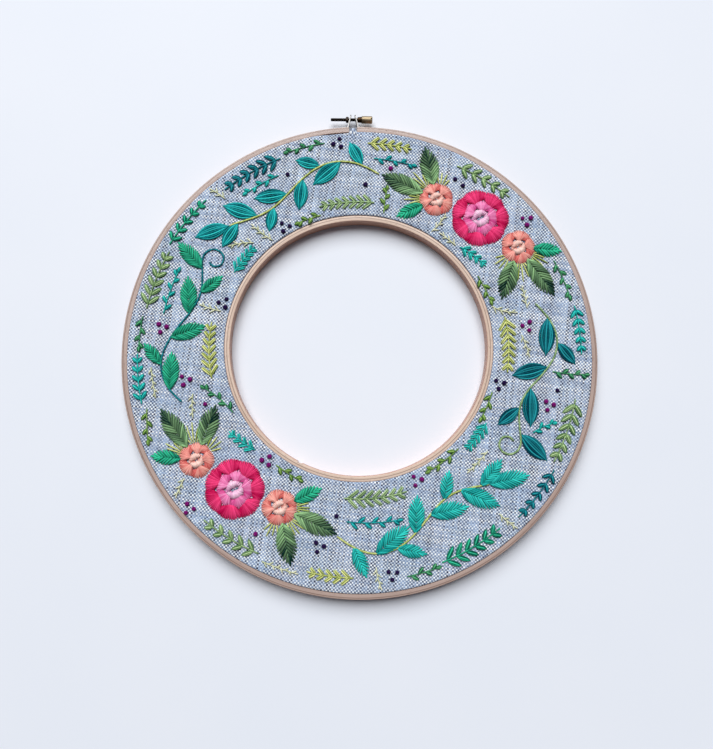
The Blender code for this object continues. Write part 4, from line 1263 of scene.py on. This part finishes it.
TWIGS = [Branch("cream", *row) for row in (
    (17, 0.05, -50, 14, 0.30, 6, 4.5), (14, 0.40, 84, 13, 0.05, 6, 4.0), (5, 0.29, -70, 13, -0.10, 5, 4.0),
    (46.5, 0.08, 90, 11, 0.07, 5, 4.0), (58, 0.04, -20, 13, 0.20, 5, 4.0), (129, 0.04, 20, 15, -0.10, 6, 4.5),
    (135, 0.16, 40, 14, 0.20, 6, 4.5), (131, 0.76, 8, 10, 0.10, 4, 4.5), (165.5, 0.08, 4, 12, -0.10, 5, 4.5),
    (184, 0.75, 92, 18, 0.06, 7, 3.6), (195, 0.37, 70, 13, 0.10, 5, 4.0), (215.5, 0.79, 25, 11, 0.10, 5, 4.0),
    (244.5, 0.91, 92, 22, 0.07, 8, 3.6), (274, 0.77, 0, 12, 0.15, 5, 4.0), (310.5, 0.76, 4, 12, 0.10, 5, 4.0),
    (321, 0.28, -90, 17, -0.08, 7, 3.8),
)]
BRANCH_LEAN, BRANCH_TAPER, BRANCH_LEAF_WIDTH = math.radians(40.0), 0.3, 2.4 * MM
record_slots = {material["slot"] for material in frame["record"]["materials"]}


def branch_stitches(branch, leaf_width):
    """The stem, a leaf on each side in turn and one at the tip. No leaf width makes a twig."""
    start, heading = band(branch.angle, branch.share), math.radians(branch.angle + branch.turn)

    def path(t):
        across = branch.bow * branch.length * t * abs(t)
        return start + along(heading, branch.length * t * MM) + along(heading + math.pi / 2, across * MM)

    stitches = rib_stitches(path, 1.0)
    for i in range(branch.leaves + 1):
        t = (i + 0.6) / branch.leaves if i < branch.leaves else 1.0
        side = 0 if i == branch.leaves else 1 if i % 2 else -1
        leaf_heading = heading_of(path, t) + side * BRANCH_LEAN
        length = branch.leaf * (1 - BRANCH_TAPER * t) * MM
        if leaf_width:
            stitches += barb(path(t), leaf_heading, length, leaf_width)
        else:
            stitches.append(Laid([path(t), path(t) + along(leaf_heading, length)], 0.4, 0.7))
    return stitches


for kind, branches, leaf_width in (("branches", DAISY_BRANCHES, BRANCH_LEAF_WIDTH), ("twigs", TWIGS, 0.0)):
    for floss in sorted({branch.floss for branch in branches}):
        of_this_floss = [branch_stitches(branch, leaf_width) for branch in branches if branch.floss == floss]
        piece = lay(f"{floss}_{kind}", sum(of_this_floss, []), floss, radius=0.46)
        slot = "thread_" + floss
        finish_piece(piece, slot if slot in record_slots else None)


# The French knots, purple and navy: the thread is wound twice round the needle, pulled down to
# the cloth and taken back through it. They lie singly and in threes like berries.
KNOT_THREAD, KNOT_TURNS, KNOT_STEPS, KNOT_FLATNESS = 0.6 * MM, 2.2, 12, 0.9
KNOT_OUTER, KNOT_INNER, KNOT_HEIGHT = 1.25 * MM, 0.35 * MM, 1.0 * MM
KNOT_SPREAD = 3.2 * MM  # from the middle of three knots to each of them
KNOT_SMALL, KNOT_LARGE = 0.85, 1.1
PURPLE_BERRIES = (  # angle, share and number
    (173, 0.66, 3), (190, 0.42, 3), (200, 0.28, 1), (231, 0.10, 3), (222, 0.93, 3), (240, 0.72, 1),
    (293, 0.09, 3), (-16, 0.62, 3), (8, 0.36, 3), (39, 0.86, 3), (80.5, 0.585, 1),
)
NAVY_BERRIES = (
    (96, 0.87, 3), (121.5, 0.09, 3), (162, 0.08, 3), (258, 0.62, 3), (278, 0.85, 3), (262, 0.32, 1),
    (-11, 0.67, 1), (-15, 0.10, 3), (58.5, 0.69, 1), (61.5, 0.71, 1), (88, 0.36, 1), (112, 0.64, 1),
)


def make_knot_tree():
    """A short helix of thread on every point, turned at random."""
    tree, given = group_with(
        "French knot", "GeometryNodeTree",
        {"Geometry": ["Places"], "Float": ["Thread", "Turns", "Outer", "Inner", "Height"], "Int": ["Seed"],
         "Material": ["Material"]},
        {"Geometry": ["Geometry"]},
    )
    coil = add_node("GeometryNodeCurveSpiral", {
        "Resolution": KNOT_STEPS, "Rotations": given["Turns"], "Start Radius": given["Outer"],
        "End Radius": given["Inner"], "Height": given["Height"],
    })
    floss = add_node("GeometryNodeGroup", {
        "Paths": coil, "Radius": given["Thread"], "Flatness": KNOT_FLATNESS, "Tone": 0.5, "Shade": 0.5,
    }, node_tree=floss_group)
    knots = add_node("GeometryNodeInstanceOnPoints", {
        "Points": given["Places"], "Instance": floss,
        "Rotation": vector_of(z=random_value(0.0, math.tau, given["Seed"], 2)),
        "Scale": random_value(KNOT_SMALL, KNOT_LARGE, given["Seed"], 3),
    })
    return close_tree(tree, knots, given["Material"])


knot_tree = make_knot_tree()
for number, (floss, berries) in enumerate((("purple", PURPLE_BERRIES), ("navy", NAVY_BERRIES))):
    places = []
    for angle, share, count in berries:
        turn, reach = math.radians(angle * 7), KNOT_SPREAD if count > 1 else 0.0
        places += [band(angle, share) + along(turn + math.tau * i / 3, reach) for i in range(count)]
    dots = bpy.data.meshes.new(floss + "_places")
    dots.from_pydata(places, [], [])
    finish_piece(made_by(f"french_knots_{floss}", knot_tree, {
        "Thread": KNOT_THREAD, "Turns": KNOT_TURNS, "Outer": KNOT_OUTER, "Inner": KNOT_INNER,
        "Height": KNOT_HEIGHT, "Seed": number, "Material": flosses[floss],
    }, dots))


# Sprays of straight stitches at the edges of the blossoms, between their leaves: thin stitches
# of pale thread that fan out from one place.
Spray = namedtuple("Spray", "blossom turn stitches length fan")
SPRAYS = (
    Spray("bud_one", 65, 5, 13.0, 28), Spray("bud_one", 117, 5, 11.0, 24), Spray("bud_one", 8, 4, 9.0, 26),
    Spray("bud_two", -115, 5, 13.0, 28), Spray("bud_two", -63, 5, 11.0, 24),
    Spray("bud_two", -172, 4, 9.0, 26),
)
SPRAY_APART, SPRAY_TUCK, SPRAY_SHORTER = 0.35, 0.6, 0.5
SPRAY_STRAY, SPRAY_LENGTHS, SPRAY_TONES = (-3, 3), (0.75, 1.1), (0.3, 1.0)
spread = random.Random(4)
for cluster, cluster_angle in CLUSTERS.items():
    stitches = []
    for spray in SPRAYS:
        blossom = BLOSSOMS[spray.blossom]
        angle = cluster_angle + blossom.angle
        turn = math.radians(angle + spray.turn)
        middle = band(angle, blossom.share)
        for i in range(spray.stitches):
            share = i / (spray.stitches - 1) - 0.5
            heading = turn + math.radians(spray.fan * 2 * share + spread.uniform(*SPRAY_STRAY))
            start = middle + along(turn + share * SPRAY_APART, (blossom.whorls[0].outer - SPRAY_TUCK) * MM)
            length = spray.length * spread.uniform(*SPRAY_LENGTHS) * (1 - SPRAY_SHORTER * abs(share)) * MM
            stitches.append(Laid([start, start + along(heading, length)], 0.4, spread.uniform(*SPRAY_TONES)))
    finish_piece(lay(f"{cluster}_sprays", stitches, "lime", radius=0.48), "thread_lime")

size = [[round(value, 5) for value in corner] for box in (cad_box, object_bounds()) for corner in box]
{"cad": size[:2], "visual": size[2:]}
